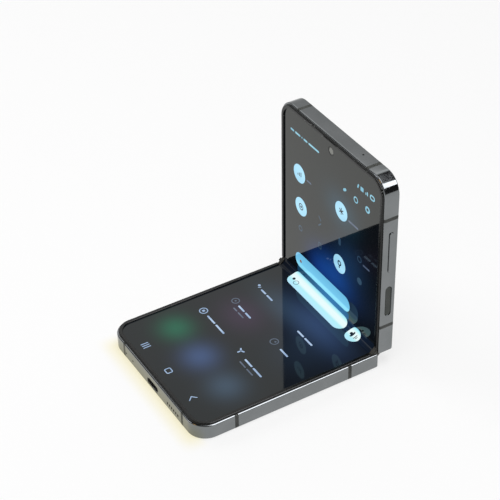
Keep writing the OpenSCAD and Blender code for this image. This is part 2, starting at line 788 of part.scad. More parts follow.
module camera_ring(i) {
    bevel = 0.5;
    skirt = neck_r - 0.4;
    shelf_r = lens_r - 0.35;
    shelf_z = lens_sink + fit - ring_h + glass_t;
    top_z = inner_z + 0.3;
    shelf_t = 0.3;
    color("#6a6e73") on_upper() translate([camera_x[i], camera_y, 0]) rotate_extrude()
        polygon([[skirt, top_z], [neck_r, top_z], [neck_r, 0], [ring_r, 0],
                 [ring_r, bevel - ring_h], [ring_r - bevel, -ring_h], [lens_r + fit, -ring_h],
                 [lens_r + fit, shelf_z], [shelf_r, shelf_z],
                 [shelf_r, shelf_z + shelf_t], [skirt, shelf_z + shelf_t]]);
}
module camera_ring_wide() { camera_ring(0); }
module camera_ring_ultrawide() { camera_ring(1); }
module camera_lens_glass() {
    color("#0a0c10") on_upper() for (x = camera_x)
        translate([x, camera_y, lens_sink - ring_h]) cylinder(r = lens_r, h = glass_t);
}
module flash_lens() {
    flash_foot = 0.5;
    color("#f2ead0") on_upper() translate([flash_x, camera_y, 0]) {
        cylinder(r = flash_r, h = glass_t);
        translate([0, 0, glass_t]) cylinder(r = flash_r - hole_step, h = flash_foot);
    }
}
module earpiece() {
    speaker_w = 12;
    speaker_len = 4.2;
    color("#26282b") on_upper()
        block([-speaker_w / 2, speaker_w / 2], [end_wall - speaker_len, end_wall - fit],
              [cover_panel_top + run, board_z - run]);
}
// Key travel space: the keys' flanges lie behind the wall, the switches behind the flanges
flange_gap = 0.3;
flange_t = 0.45;
flange_x = [inner_half - flange_gap - flange_t, inner_half - flange_gap];
switch_x = flange_x[0] - power_travel - fit * 2;
switch_w = 3;
switch_h = 1.8;
switch_t = 1.6;
strip_t = 0.5;
strip_h = 2;
strip_x = [switch_x - switch_t - strip_t, switch_x - switch_t];
module button_switches() {
    color("#c9b46a") on_upper() {
        block(strip_x, [power_at - power_len / 2, volume_at + volume_len / 2],
              [key_z - strip_h / 2, key_z + strip_h / 2]);
        for (y = [power_at, volume_at - volume_len / 4, volume_at + volume_len / 4])
            block([strip_x[1], switch_x], [y - switch_w / 2, y + switch_w / 2],
                  [key_z - switch_h / 2, key_z + switch_h / 2]);
    }
}
// The tray's plate is narrower than its face by this much at each end
tray_edge = 0.6;
module sim_cage() {
    wall = 0.25;
    gap = 0.15;
    x = [wall_t + fit - half_w, cage_x1 + fit];
    y = [tray_at - tray_len / 2 + tray_edge - 2 * run, tray_at + tray_len / 2 - tray_edge + 2 * run];
    z = [key_z - tray_t / 2 - gap, key_z + tray_t / 2 + gap];
    color("#a9acaf") on_upper() difference() {
        block(x, [y[0] - wall, y[1] + wall], [z[0] - wall, z[1] + wall]);
        block([x[0] - over, x[1] - wall], y, z);
    }
}
module hinge_arm_upper_left() { color("#b9bcbf") on_upper() hinge_arm(1, -1); }
module hinge_arm_upper_right() { color("#b9bcbf") on_upper() hinge_arm(1, 1); }
module arm_screws_upper() { color("#d6d8da") on_upper() arm_screws(1); }

// Keys and card tray
module key(at, len, h, face) {
    end_lip = 0.6;
    side_lip = 0.4;
    side_pill(at, key_z, len, h, flange_x[0], face);
    block(flange_x, [at - len / 2 - end_lip, at + len / 2 + end_lip],
          [key_z - h / 2 - side_lip, key_z + h / 2 + side_lip]);
}
module power_button() {
    color("#3f4347") on_upper() key(power_at, power_len, power_h, half_w - power_sink);
}
module volume_rocker() {
    edge = 0.3;
    color("#5b5f63") on_upper() {
        key(volume_at, volume_len, volume_h, half_w + volume_out - edge);
        side_pill(volume_at, key_z, volume_len - edge, volume_h - edge, half_w, half_w + volume_out);
    }
}
module sim_tray() {
    face_t = 1.2;
    rim = 0.8;
    card_x = 2.6;
    pin_r = 0.4;
    pin_at = 1.7;
    x0 = -half_w;
    y = [tray_at - tray_len / 2 + tray_edge, tray_at + tray_len / 2 - tray_edge];
    z = [key_z - tray_t / 2, key_z + tray_t / 2];
    color("#5b5f63") on_upper() difference() {
        union() {
            side_pill(tray_at, key_z, tray_len, tray_h, x0, x0 + face_t);
            block([x0 + face_t / 2, x0 + tray_reach], y, z);
        }
        // Seat of the card and hole for the pin that opens the tray
        block([x0 + card_x, x0 + tray_reach - rim], [y[0] + 2 * rim, y[1] - rim], [key_z - run, body_t]);
        translate([x0 - over, tray_at - tray_len / 2 + pin_at, key_z]) rotate([0, 90, 0])
            cylinder(r = pin_r, h = card_x + pin_r);
    }
}

// Spine: drawn flat in the same space as the halves, lower half on the -Y side
module spine_shape(r, top) {
    intersection() {
        union() {
            for (side = [-1, 1]) translate([side * axis_half, axis_z]) circle(r);
            translate([-axis_half, axis_z - r]) square([2 * axis_half, r]);
        }
        translate([-3 * r, axis_z - 2 * r]) square([6 * r, top - axis_z + 2 * r]);
    }
}
module hinge_spine() {
    color("#55595d") on_spine() difference() {
        along_x(-spine_half, spine_half) spine_shape(spine_r, spine_top);
        along_x(spine_wall - spine_half, spine_half - spine_wall) spine_shape(spine_in, body_t);
        // Windows for the torque arms and for the cable
        for (half = [-1, 1]) {
            x = half * (torque_x0 + torque_w / 2);
            y = half * 3 * spine_r / 2 + half * axis_half;
            block([x - torque_w / 2 - run, x + torque_w / 2 + run], [y - spine_r, y + spine_r],
                  [gear_z - torque_t / 2 - 1.5 * run, body_t]);
        }
        block([flex_x0 - run, flex_x0 + flex_w + run], [-4 * spine_r, 4 * spine_r],
              [flex_low_z - run, body_t]);
    }
}
// The web fills what the two cheeks leave free: narrow beside the axes and wider above them
module web_shape() {
    stem_half = fold_gap - cap_gap;
    head_half = axis_half - (rim_z - axis_z) - cap_gap;
    translate([-stem_half, axis_z - web_drop]) square([2 * stem_half, web_drop + cap_r]);
    difference() {
        translate([-head_half, axis_z]) square([2 * head_half, cap_r]);
        for (end = [-1, 1]) translate([end * axis_half, axis_z]) circle(cheek_r + cap_gap);
    }
}
// An end cap that points to +X: a round-ended block, its web and the tab that holds it
module end_cap() {
    cap_sink = 0.1;
    tab_len = 3;
    tab_t = 0.65;
    x0 = spine_half + fit;
    along_x(x0, cheek_x - cap_gap) {
        for (end = [-1, 1]) translate([end * axis_half, axis_z]) circle(cap_r);
        translate([-axis_half, axis_z - cap_r]) square([2 * axis_half, 2 * cap_r]);
    }
    along_x(x0, half_w - cap_sink) web_shape();
    block([spine_half - tab_len, x0 + fit], [-1, 1], [spine_top + fit, spine_top + fit + tab_t]);
}
module end_cap_left() { color("#1a1b1d") on_spine() mirror([1, 0, 0]) end_cap(); }
module end_cap_right() { color("#1a1b1d") on_spine() end_cap(); }
// One bracket guides a lower arm and an upper arm side by side
module bracket(side) {
    x = side * bracket_x;
    block_y = rail_r1 * sin(rail_past) + run - axis_half;
    for (half = [-1, 1])
        along_x(x + (half - 1) * station, x + (half + 1) * station)
            scale([-half, 1]) intersection() {
                spine_shape(spine_in - fit, bracket_top);
                union() {
                    translate([-axis_half, axis_z]) circle(hub_r);
                    translate([block_y, 0]) square([axis_half + spine_r, body_t]);
                }
            }
}
module hinge_bracket_left() { color("#9fa2a5") on_spine() bracket(-1); }
module hinge_bracket_right() { color("#9fa2a5") on_spine() bracket(1); }
gear_y = [for (i = [-3, -1, 1, 3]) i * gear_r];
shaft_gap = 0.05;
module gear_housing() {
    color("#8f9295") on_spine() difference() {
        along_x(-housing_half, housing_half) spine_shape(spine_in - fit, bracket_top);
        block([-gear_w / 2 - run, gear_w / 2 + run], [-spine_r - axis_half, spine_r + axis_half],
              [gear_z - gear_out - run, body_t]);
        for (y = gear_y) translate([-housing_half - over, y, gear_z]) rotate([0, 90, 0])
            cylinder(r = shaft_r + shaft_gap, h = 2 * (housing_half + over));
    }
}
// A gear on its shaft; every second gear is turned by half a tooth
module gear(i, shaft) {
    root = gear_r - gear_ded;
    // Half widths of a tooth at its root, pitch circle and tip
    pitch_half = gear_r * sin(90 / gear_teeth) * 0.8;
    root_half = pitch_half * 1.25;
    tip_half = pitch_half * 0.6;
    inner = root * 0.8;
    step = 360 / gear_teeth;
    translate([0, gear_y[i], gear_z]) {
        along_x(-gear_w / 2, gear_w / 2) {
            circle(root);
            for (k = [0:gear_teeth - 1]) rotate(k * step + (i % 2) * step / 2)
                polygon([[inner, -pitch_half], [root, -root_half], [gear_out, -tip_half],
                         [gear_out, tip_half], [root, root_half], [inner, pitch_half]]);
        }
        translate([shaft[0], 0, 0]) rotate([0, 90, 0]) cylinder(r = shaft_r, h = shaft[1] - shaft[0]);
    }
}
shaft_short = housing_half;
shaft_long = torque_x0 + torque_w;
press_gap = 0.01;
module torque_arm(half) {
    hub = shaft_r + 2 * run;
    x0 = half > 0 ? torque_x0 : -torque_x0 - torque_w;
    translate([0, half * 3 * gear_r, gear_z]) rotate([half * turn, 0, 0]) difference() {
        union() {
            translate([x0, 0, 0]) rotate([0, 90, 0]) cylinder(r = hub, h = torque_w);
            block([x0, x0 + torque_w], half > 0 ? [0, torque_len] : [-torque_len, 0],
                  [-torque_t / 2, torque_t / 2]);
        }
        translate([x0 - over, 0, 0]) rotate([0, 90, 0])
            cylinder(r = shaft_r + press_gap, h = torque_w + 2 * over);
    }
}
module sync_gear_lower() { color("#c8b560") on_spine() gear(0, [-shaft_long, shaft_short]); }
module torque_arm_lower() { color("#b9bcbf") on_spine() torque_arm(-1); }
module idler_gear_lower() { color("#c8b560") on_spine() gear(1, [-shaft_short, shaft_short]); }
module idler_gear_upper() { color("#c8b560") on_spine() gear(2, [-shaft_short, shaft_short]); }
module sync_gear_upper() { color("#c8b560") on_spine() gear(3, [-shaft_short, shaft_long]); }
module torque_arm_upper() { color("#b9bcbf") on_spine() torque_arm(1); }

// Ring sector below its centre, as wide as half_angle on each side
module valley(r0, r1, half_angle) {
    reach = 2 * r1;
    intersection() {
        difference() {
            circle(r1);
            circle(r0);
        }
        polygon([[0, 0], reach * [-sin(half_angle), -cos(half_angle)],
                 [-reach * tan(half_angle / 2), -reach], [reach * tan(half_angle / 2), -reach],
                 reach * [sin(half_angle), -cos(half_angle)]]);
    }
}
module display_fold() {
    color("#16181b") on_spine() along_x(-fold_x, fold_x)
        translate([0, body_t + fold_r]) valley(fold_r, fold_r + panel_t, turn);
}
module hinge_flex() {
    color("#b0772e") on_spine() along_x(flex_x0, flex_x0 + flex_w)
        translate([0, flex_low_z + flex_r]) valley(flex_r, flex_r + flex_t, flex_half_angle);
}

frame_lower();
antenna_bands_lower();
bezel_lower();
back_glass();
display_panel_lower();
display_plate_lower();
battery_lower();
charging_coil();
sub_board();
usb_port_shell();
usb_tongue();
loudspeaker();
speaker_mesh();
bottom_microphones();
vibration_motor();
hinge_arm_lower_left();
hinge_arm_lower_right();
arm_screws_lower();
frame_upper();
antenna_bands_upper();
bezel_upper();
cover_glass();
cover_display();
display_panel_upper();
display_plate_upper();
battery_upper();
main_board();
shield_cans();
selfie_camera();
selfie_lens();
camera_wide();
camera_ultrawide();
camera_ring_wide();
camera_ring_ultrawide();
camera_lens_glass();
flash_lens();
earpiece();
button_switches();
sim_cage();
hinge_arm_upper_left();
hinge_arm_upper_right();
arm_screws_upper();
volume_rocker();
power_button();
sim_tray();
hinge_spine();
end_cap_left();
end_cap_right();
hinge_bracket_left();
hinge_bracket_right();
gear_housing();
sync_gear_lower();
torque_arm_lower();
idler_gear_lower();
idler_gear_upper();
sync_gear_upper();
torque_arm_upper();
display_fold();
hinge_flex();
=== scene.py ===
import json
import math

import bmesh
import bpy
from mathutils import Matrix, Vector

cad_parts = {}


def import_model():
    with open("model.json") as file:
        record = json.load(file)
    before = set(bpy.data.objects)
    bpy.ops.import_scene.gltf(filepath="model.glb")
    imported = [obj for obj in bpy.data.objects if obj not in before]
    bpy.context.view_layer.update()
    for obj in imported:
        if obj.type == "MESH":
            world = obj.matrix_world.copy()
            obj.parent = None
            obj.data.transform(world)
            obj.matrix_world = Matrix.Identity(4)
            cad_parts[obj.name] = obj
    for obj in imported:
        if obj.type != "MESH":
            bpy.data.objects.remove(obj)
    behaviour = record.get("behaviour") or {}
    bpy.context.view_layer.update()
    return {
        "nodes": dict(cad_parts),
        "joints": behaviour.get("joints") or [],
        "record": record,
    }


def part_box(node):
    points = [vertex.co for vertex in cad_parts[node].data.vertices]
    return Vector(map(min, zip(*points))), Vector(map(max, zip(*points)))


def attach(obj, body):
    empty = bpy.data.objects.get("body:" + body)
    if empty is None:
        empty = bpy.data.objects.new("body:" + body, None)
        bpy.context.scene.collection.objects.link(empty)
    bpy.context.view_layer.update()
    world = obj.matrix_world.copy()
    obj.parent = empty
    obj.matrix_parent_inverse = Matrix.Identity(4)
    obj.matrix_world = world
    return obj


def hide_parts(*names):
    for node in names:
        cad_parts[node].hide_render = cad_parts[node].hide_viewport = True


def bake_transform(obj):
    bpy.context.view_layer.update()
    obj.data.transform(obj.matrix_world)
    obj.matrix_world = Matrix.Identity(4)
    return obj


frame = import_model()

MM = 0.001
SCENE = bpy.context.scene
NODES = frame["nodes"]


# Places

# A half has its own space in millimetres: x across, s from the fold to the far end and z from
# the back to the display. The spine's space has y across the fold instead of s.
JOINTS = {joint["name"]: joint for joint in frame["joints"]}
AXIS_LOW = Vector(JOINTS["lower_fold"]["pos_m"]) / MM
AXIS_UP = Vector(JOINTS["upper_fold"]["pos_m"]) / MM
AXIS_HALF = (AXIS_UP - AXIS_LOW).length / 2
AXIS_Z = AXIS_LOW.z
# The spine's turn from flat open. The upper half turns twice as far
TURN = math.atan2(AXIS_UP.z - AXIS_LOW.z, AXIS_UP.y - AXIS_LOW.y)
TO_METRES = Matrix.Scale(MM, 4)
MIRROR_Y = Matrix.Scale(-1, 4, (0, 1, 0))


def turned(axis, angle, y_shift):
    """A space that is turned about one folding axis."""
    shift = Matrix.Translation((0, y_shift, -AXIS_Z))
    return TO_METRES @ Matrix.Translation(axis) @ Matrix.Rotation(angle, 4, "X") @ shift


LOWER = TO_METRES @ Matrix.Translation(AXIS_LOW) @ MIRROR_Y @ Matrix.Translation((0, -AXIS_HALF, -AXIS_Z))
UPPER = turned(AXIS_UP, 2 * TURN, -AXIS_HALF)
SPINE = turned(AXIS_LOW, TURN, AXIS_HALF)


def box_in(space, node_name):
    """A node's lowest and highest corners in a half's or the spine's own space, in mm."""
    ends = [space.inverted() @ Vector(corner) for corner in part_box(node_name)]
    return [Vector([pick(end[k] for end in ends) for k in range(3)]) for pick in (min, max)]


def size_of(node_name, axis):
    low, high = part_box(node_name)
    return (high[axis] - low[axis]) / MM


BODY_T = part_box("display_panel_lower")[1].z / MM
HALF_W = size_of("frame_lower", 0) / 2
PANEL_T = size_of("display_panel_lower", 2)
FOLD_X = size_of("display_fold", 0) / 2

# The display bends on an arc that touches both halves' displays
CREASE_Z = AXIS_Z - (AXIS_HALF * math.sin(TURN) - (BODY_T - AXIS_Z)) / math.cos(TURN)
FOLD_R = (BODY_T - CREASE_Z) / (1 / math.cos(TURN) - 1)
FOLD_LEN = FOLD_R * TURN
ARC_END = SPINE @ Vector((0, -FOLD_R * math.sin(TURN), BODY_T + FOLD_R * (1 - math.cos(TURN))))
ARC_S = (LOWER.inverted() @ ARC_END).y


def t_up(s):
    """A place s on the upper half as a distance t from the fold along the display's surface."""
    return s - ARC_S + FOLD_LEN


def t_down(s):
    """The same on the lower half, where t is negative."""
    return -t_up(s)


def on_display(x, t, lift):
    """The point of the scene at x and t on the display, and some mm over it."""
    if abs(t) <= FOLD_LEN:
        angle = t / FOLD_R
        r = FOLD_R - lift
        return SPINE @ Vector((x, r * math.sin(angle), BODY_T + FOLD_R - r * math.cos(angle)))
    s = ARC_S + abs(t) - FOLD_LEN
    return (UPPER if t > 0 else LOWER) @ Vector((x, s, BODY_T + lift))


# Shader nodes

def new_tree(name):
    material = bpy.data.materials.new(name)
    material.use_nodes = True
    tree = material.node_tree
    return material, tree, tree.nodes["Principled BSDF"]


def node(tree, kind, values=(), **settings):
    """A shader node with values on its sockets and settings of its own."""
    made = tree.nodes.new("ShaderNode" + kind)
    for key, value in settings.items():
        setattr(made, key, value)
    for key, value in dict(values).items():
        made.inputs[key].default_value = value
    return made


def link(tree, source, target):
    tree.links.new(source, target)


def maths(tree, operation, a, b=None):
    """A Math node of one or two values, each a socket or a number."""
    made = node(tree, "Math", operation=operation)
    for i, value in enumerate((a, b)):
        if isinstance(value, (int, float)):
            made.inputs[i].default_value = value
        elif value is not None:
            link(tree, value, made.inputs[i])
    return made.outputs[0]


def product(tree, *values):
    total = values[0]
    for value in values[1:]:
        total = maths(tree, "MULTIPLY", total, value)
    return total


def split(tree, vector):
    """The outputs X, Y and Z of a vector."""
    made = node(tree, "SeparateXYZ")
    link(tree, vector, made.inputs[0])
    return made.outputs


def along(tree, vector, axis):
    """The product of a vector socket and a fixed axis."""
    made = node(tree, "VectorMath", {1: axis}, operation="DOT_PRODUCT")
    link(tree, vector, made.inputs[0])
    return made.outputs["Value"]


def tinted(tree, level, colour):
    """A colour times a value."""
    made = node(tree, "VectorMath", {0: colour}, operation="SCALE")
    link(tree, level, made.inputs["Scale"])
    return made.outputs[0]


def colour_sum(tree, base, parts):
    """A base colour plus any number of colour sockets."""
    total = node(tree, "VectorMath", {0: base}, operation="ADD").outputs[0]
    for part in parts:
        add = node(tree, "VectorMath", operation="ADD")
        link(tree, total, add.inputs[0])
        link(tree, part, add.inputs[1])
        total = add.outputs[0]
    return total


def fade(tree, value, none_at, full_at, way="SMOOTHSTEP"):
    """Zero at none_at, one at full_at and held beyond them. Either may be the smaller."""
    made = node(tree, "MapRange", {"From Min": none_at, "From Max": full_at}, interpolation_type=way)
    link(tree, value, made.inputs["Value"])
    return made.outputs["Result"]


def ramp(tree, fac, low, high, a, b):
    """a below low, b above high and smooth between them, as a value or a colour."""
    made = node(tree, "ValToRGB")
    link(tree, fac, made.inputs["Fac"])
    made.color_ramp.interpolation = "EASE"
    for element, place, value in zip(made.color_ramp.elements, (low, high), (a, b)):
        element.position = place
        element.color = (*value, 1) if isinstance(value, tuple) else (value, value, value, 1)
    return made.outputs["Color"]


def mixed(tree, factor, a, b):
    """a, a colour or a socket, where the factor is 0 and the colour b where it is 1."""
    made = node(tree, "Mix", data_type="RGBA")
    link(tree, factor, made.inputs["Factor"])
    if isinstance(a, tuple):
        made.inputs["A"].default_value = (*a, 1)
    else:
        link(tree, a, made.inputs["A"])
    made.inputs["B"].default_value = (*b, 1)
    return made.outputs["Result"]


def object_point(tree):
    return node(tree, "TexCoord").outputs["Object"]


def noise(tree, size_mm, detail, roughness=0.5):
    """Noise whose features are about size_mm across."""
    made = node(tree, "TexNoise", {"Scale": 1 / (size_mm * MM), "Detail": detail, "Roughness": roughness})
    link(tree, object_point(tree), made.inputs["Vector"])
    return made.outputs["Fac"]


def bump(tree, bsdf, height, depth_mm):
    made = node(tree, "Bump", {"Strength": 1.0, "Distance": depth_mm * MM})
    link(tree, height, made.inputs["Height"])
    link(tree, made.outputs["Normal"], bsdf.inputs["Normal"])


# Metal, plastic and glass

RUBBED_EDGE_MM = 0.05
RUBBED_GAIN = 1.5
RUBBED_SHARE = 0.5
METAL_GRAIN_MM = 0.15
METAL_GRAIN_DEPTH = 0.0004
SMUDGE = 0.035
DUST = (0.60, 0.62, 0.60)
DUST_COVER = 0.8
DUST_PITCH_MM = 0.9
DUST_FADE_MM = 4


def worn_edges(tree, edge_mm):
    """One along sharp outer edges and zero elsewhere."""
    round_edge = node(tree, "Bevel", {"Radius": edge_mm * MM}, samples=4)
    facing = node(tree, "VectorMath", operation="DOT_PRODUCT")
    link(tree, round_edge.outputs[0], facing.inputs[0])
    link(tree, node(tree, "NewGeometry").outputs["Normal"], facing.inputs[1])
    return ramp(tree, facing.outputs["Value"], 0.80, 0.97, 1.0, 0.0)


def metal(name, dark, light, rough):
    """Anodised or polished metal: fine grain, smudges in its gloss and edges rubbed brighter."""
    material, tree, bsdf = new_tree(name)
    bsdf.inputs["Metallic"].default_value = 1.0
    base = ramp(tree, noise(tree, 9, 4), 0.3, 0.7, dark, light)
    rubbed = tuple(min(1, RUBBED_GAIN * c) for c in light)
    wear = maths(tree, "MULTIPLY", worn_edges(tree, RUBBED_EDGE_MM), RUBBED_SHARE)
    link(tree, mixed(tree, wear, base, rubbed), bsdf.inputs["Base Color"])
    smears = ramp(tree, noise(tree, 14, 5, 0.6), 0.42, 0.66, rough, rough + SMUDGE)
    link(tree, smears, bsdf.inputs["Roughness"])
    bump(tree, bsdf, noise(tree, METAL_GRAIN_MM, 2), METAL_GRAIN_DEPTH)
    return material


def dust(tree, lowest_mm):
    """Rare pale specks over a height, as the share of the surface that they cover."""
    dots = node(tree, "TexVoronoi", {"Scale": 1 / (DUST_PITCH_MM * MM)})
    link(tree, object_point(tree), dots.inputs["Vector"])
    near = ramp(tree, dots.outputs["Distance"], 0.10, 0.17, 1.0, 0.0)
    rare = ramp(tree, noise(tree, 2.2, 2), 0.54, 0.60, 0.0, 1.0)
    z = split(tree, object_point(tree))["Z"]
    high = fade(tree, z, (lowest_mm - DUST_FADE_MM) * MM, lowest_mm * MM, "LINEAR")
    return product(tree, near, rare, high, DUST_COVER)


def plastic(name, colour, rough, grain_mm=0.2, grain_depth=0.002, dusty_above=None, specular=0.5):
    """Moulded plastic or film: a slight change of tone, a fine grain and, if asked, dust specks."""
    material, tree, bsdf = new_tree(name)
    bsdf.inputs["Specular IOR Level"].default_value = specular
    other = tuple(min(1, 1.35 * c + 0.001) for c in colour)
    base = ramp(tree, noise(tree, 4, 4), 0.35, 0.65, colour, other)
    if dusty_above:
        base = mixed(tree, dust(tree, dusty_above), base, DUST)
    link(tree, base, bsdf.inputs["Base Color"])
    link(tree, ramp(tree, noise(tree, 6, 4), 0.4, 0.7, rough, rough * 1.5), bsdf.inputs["Roughness"])
    bump(tree, bsdf, noise(tree, grain_mm, 2), grain_depth)
    return material


def clear_glass(name):
    """Clear glass with a fine smear in its gloss."""
    material, tree, bsdf = new_tree(name)
    bsdf.inputs["Transmission Weight"].default_value = 1.0
    bsdf.inputs["Base Color"].default_value = (0.86, 0.90, 0.93, 1)
    link(tree, ramp(tree, noise(tree, 5, 4), 0.5, 0.75, 0.0, 0.05), bsdf.inputs["Roughness"])
    return material


def coated_lens(name, centre_tint, edge_tint):
    """A dark lens whose coating changes colour with the angle it is seen at."""
    material, tree, bsdf = new_tree(name)
    facing = node(tree, "LayerWeight", {"Blend": 0.35}).outputs["Facing"]
    link(tree, ramp(tree, facing, 0.10, 0.75, centre_tint, edge_tint), bsdf.inputs["Base Color"])
    bsdf.inputs["Metallic"].default_value = 0.6
    link(tree, ramp(tree, noise(tree, 3, 3), 0.4, 0.7, 0.03, 0.07), bsdf.inputs["Roughness"])
    return material


# The display and all that is lit in it

# The name under which drawn pieces keep t, the distance from the fold
ACROSS = "t_mm"
FILM_BLACK = (0.004, 0.004, 0.005, 1)
FILM_ROUGH = 0.03
FILM_IOR = 1.45
FILM_TINT = (0.96, 1.0, 0.86, 1)
# Specular level of the display's parts. Its lower half mirrors less than its upper half
UPPER_GLOSS = 0.53
LOWER_GLOSS = 0.27
FOLD_GLOSS = 0.15
BAND_GLOSS = 0.05


def lit(name, specular, light):
    """Dark glossy film, lit from below by the colour that light(tree) makes."""
    material, tree, bsdf = new_tree(name)
    bsdf.inputs["Base Color"].default_value = FILM_BLACK
    bsdf.inputs["IOR"].default_value = FILM_IOR
    bsdf.inputs["Specular IOR Level"].default_value = specular
    bsdf.inputs["Specular Tint"].default_value = FILM_TINT
    smears = ramp(tree, noise(tree, 11, 5, 0.6), 0.45, 0.75, FILM_ROUGH, FILM_ROUGH * 2.2)
    link(tree, smears, bsdf.inputs["Roughness"])
    bump(tree, bsdf, noise(tree, 7, 1), 0.004)
    link(tree, light(tree), bsdf.inputs["Emission Color"])
    bsdf.inputs["Emission Strength"].default_value = 1.0
    return material


def glow(tree, space, spot):
    """One soft patch of light, as a colour."""
    x, s, reach_x, reach_s, colour = spot
    centre = space @ Vector((x, s, BODY_T))
    lengthwise = (space @ Vector((x, s + 1, BODY_T)) - centre) / MM
    away = node(tree, "VectorMath", {1: centre}, operation="SUBTRACT")
    link(tree, object_point(tree), away.inputs[0])
    squares = []
    for axis, reach in ((Vector((1, 0, 0)), reach_x), (lengthwise, reach_s)):
        share = along(tree, away.outputs[0], axis / (reach * MM))
        squares.append(maths(tree, "POWER", maths(tree, "ABSOLUTE", share), 2))
    fall = maths(tree, "EXPONENT", maths(tree, "MULTIPLY", maths(tree, "ADD", *squares), -1))
    return tinted(tree, fall, colour)


def lit_film(name, space, base, spots, specular=UPPER_GLOSS):
    """A part of the display, with a base colour and soft patches of light."""
    return lit(name, specular,
               lambda tree: colour_sum(tree, base, [glow(tree, space, spot) for spot in spots]))


def lit_shape(name, dim, bright, size_mm, specular=UPPER_GLOSS):
    """Something drawn whose light varies gently between two colours."""
    return lit(name, specular, lambda tree: ramp(tree, noise(tree, size_mm, 1), 0.35, 0.65, dim, bright))


def lit_across(name, stops, specular=LOWER_GLOSS):
    """Something drawn whose light changes across it: stops are t in mm and a colour."""
    low, high = stops[0][0], stops[-1][0]

    def light(tree):
        t_socket = node(tree, "Attribute", attribute_name=ACROSS).outputs["Fac"]
        colours = node(tree, "ValToRGB")
        link(tree, fade(tree, t_socket, low, high, "LINEAR"), colours.inputs["Fac"])
        colours.color_ramp.interpolation = "EASE"
        elements = colours.color_ramp.elements
        for t, _ in stops[1:-1]:
            elements.new((t - low) / (high - low))
        for element, (_, colour) in zip(elements, stops):
            element.color = (*colour, 1)
        return colours.outputs["Color"]

    return lit(name, specular, light)


# The materials of the carried-over nodes

LOWER_BASE = (0.0040, 0.0062, 0.0095)
UPPER_BASE = (0.0012, 0.0022, 0.0030)
FOLD_BASE = (0.0025, 0.0040, 0.0070)
BAND_BASE = (0.004, 0.030, 0.060)
DARK_BASE = (0.001, 0.001, 0.0015)

# Glow in a display: centre in its own space, reach across and along it in mm, and colour
LOWER_GLOW = [
    (-20.9, 60.3, 7.5, 7.0, (0.0, 0.095, 0.045)),
    (-0.7, 60.6, 8.0, 7.5, (0.030, 0.062, 0.160)),
    (19.7, 60.7, 8.0, 7.5, (0.026, 0.052, 0.088)),
    (-13.6, 33.3, 11.0, 9.0, (0.026, 0.010, 0.030)),
    (-12.0, 18.0, 14.0, 6.0, (0.010, 0.022, 0.030)),
    (18.0, 26.0, 13.0, 12.0, (0.005, 0.011, 0.022)),
    (7.0, 11.5, 19.0, 8.0, (0.024, 0.050, 0.120)),
]
UPPER_GLOW = [
    (3.0, 18.5, 13.0, 8.5, (0.004, 0.046, 0.225)),
    (-8.0, 15.0, 6.5, 6.0, (0.001, 0.012, 0.085)),
    (14.0, 32.0, 11.0, 9.0, (0.004, 0.020, 0.055)),
    (7.8, 53.1, 10.0, 8.0, (0.004, 0.034, 0.060)),
]
FOLD_GLOW = [(3.0, 0.0, 19.0, 9.0, (0.004, 0.030, 0.095))]
BAND_GLOW = [(2.0, 3.5, 17.0, 7.0, (0.020, 0.140, 0.350))]

# A metal has its darkest and lightest tones and its roughness. A plastic has its colour, its
# roughness and, where they differ from the usual ones, the size and depth of its grain in mm
FRAME_METAL = ((0.198, 0.210, 0.214), (0.220, 0.231, 0.236))
BEZEL = dict(colour=(0.0045, 0.0048, 0.0045), rough=0.22, grain_mm=1.2, grain_depth=0.0015, specular=0.3)
DUSTY_ABOVE_MM = 80
MATERIAL = {
    "graphite_metal": metal("graphite_metal", *FRAME_METAL, 0.085),
    "spine_metal": metal("spine_metal", (0.15, 0.155, 0.152), (0.18, 0.185, 0.18), 0.16),
    "key_metal": metal("key_metal", (0.055, 0.060, 0.056), (0.068, 0.073, 0.068), 0.25),
    "camera_ring_metal": metal("camera_ring_metal", (0.20, 0.207, 0.205), (0.25, 0.257, 0.255), 0.11),
    "band_plastic": plastic("band_plastic", (0.022, 0.024, 0.021), 0.42, grain_depth=0.001),
    "bezel_plastic": plastic("bezel_plastic", **BEZEL),
    "back_glass": plastic("back_glass", (0.016, 0.0175, 0.018), 0.055, 3.0, 0.0005),
    "display_glass": lit_film("display_dark", UPPER, DARK_BASE, []),
    "carrier_steel": metal("carrier_steel", (0.40, 0.41, 0.42), (0.50, 0.51, 0.52), 0.28),
    "hinge_steel": metal("hinge_steel", (0.46, 0.47, 0.48), (0.56, 0.57, 0.58), 0.25),
    "gear_brass": metal("gear_brass", (0.52, 0.42, 0.18), (0.64, 0.53, 0.26), 0.27),
    "battery_pouch": plastic("battery_pouch", (0.05, 0.052, 0.058), 0.4),
    "coil_copper": metal("coil_copper", (0.45, 0.21, 0.10), (0.60, 0.30, 0.15), 0.3),
    "board": plastic("board_mask", (0.012, 0.075, 0.045), 0.35),
    "flex_film": plastic("flex_film", (0.40, 0.19, 0.04), 0.25),
    "black_plastic": plastic("black_plastic", (0.012, 0.013, 0.015), 0.45),
    "lens_glass": plastic("lens_cover", (0.004, 0.004, 0.006), 0.03, 3.0, 0.0005),
    "flash_diffuser": plastic("flash_diffuser", (0.72, 0.66, 0.45), 0.25, 0.35, 0.03),
}
cap_material = plastic("cap_plastic", (0.022, 0.021, 0.017), 0.34, 0.3, 0.001, specular=0.3)
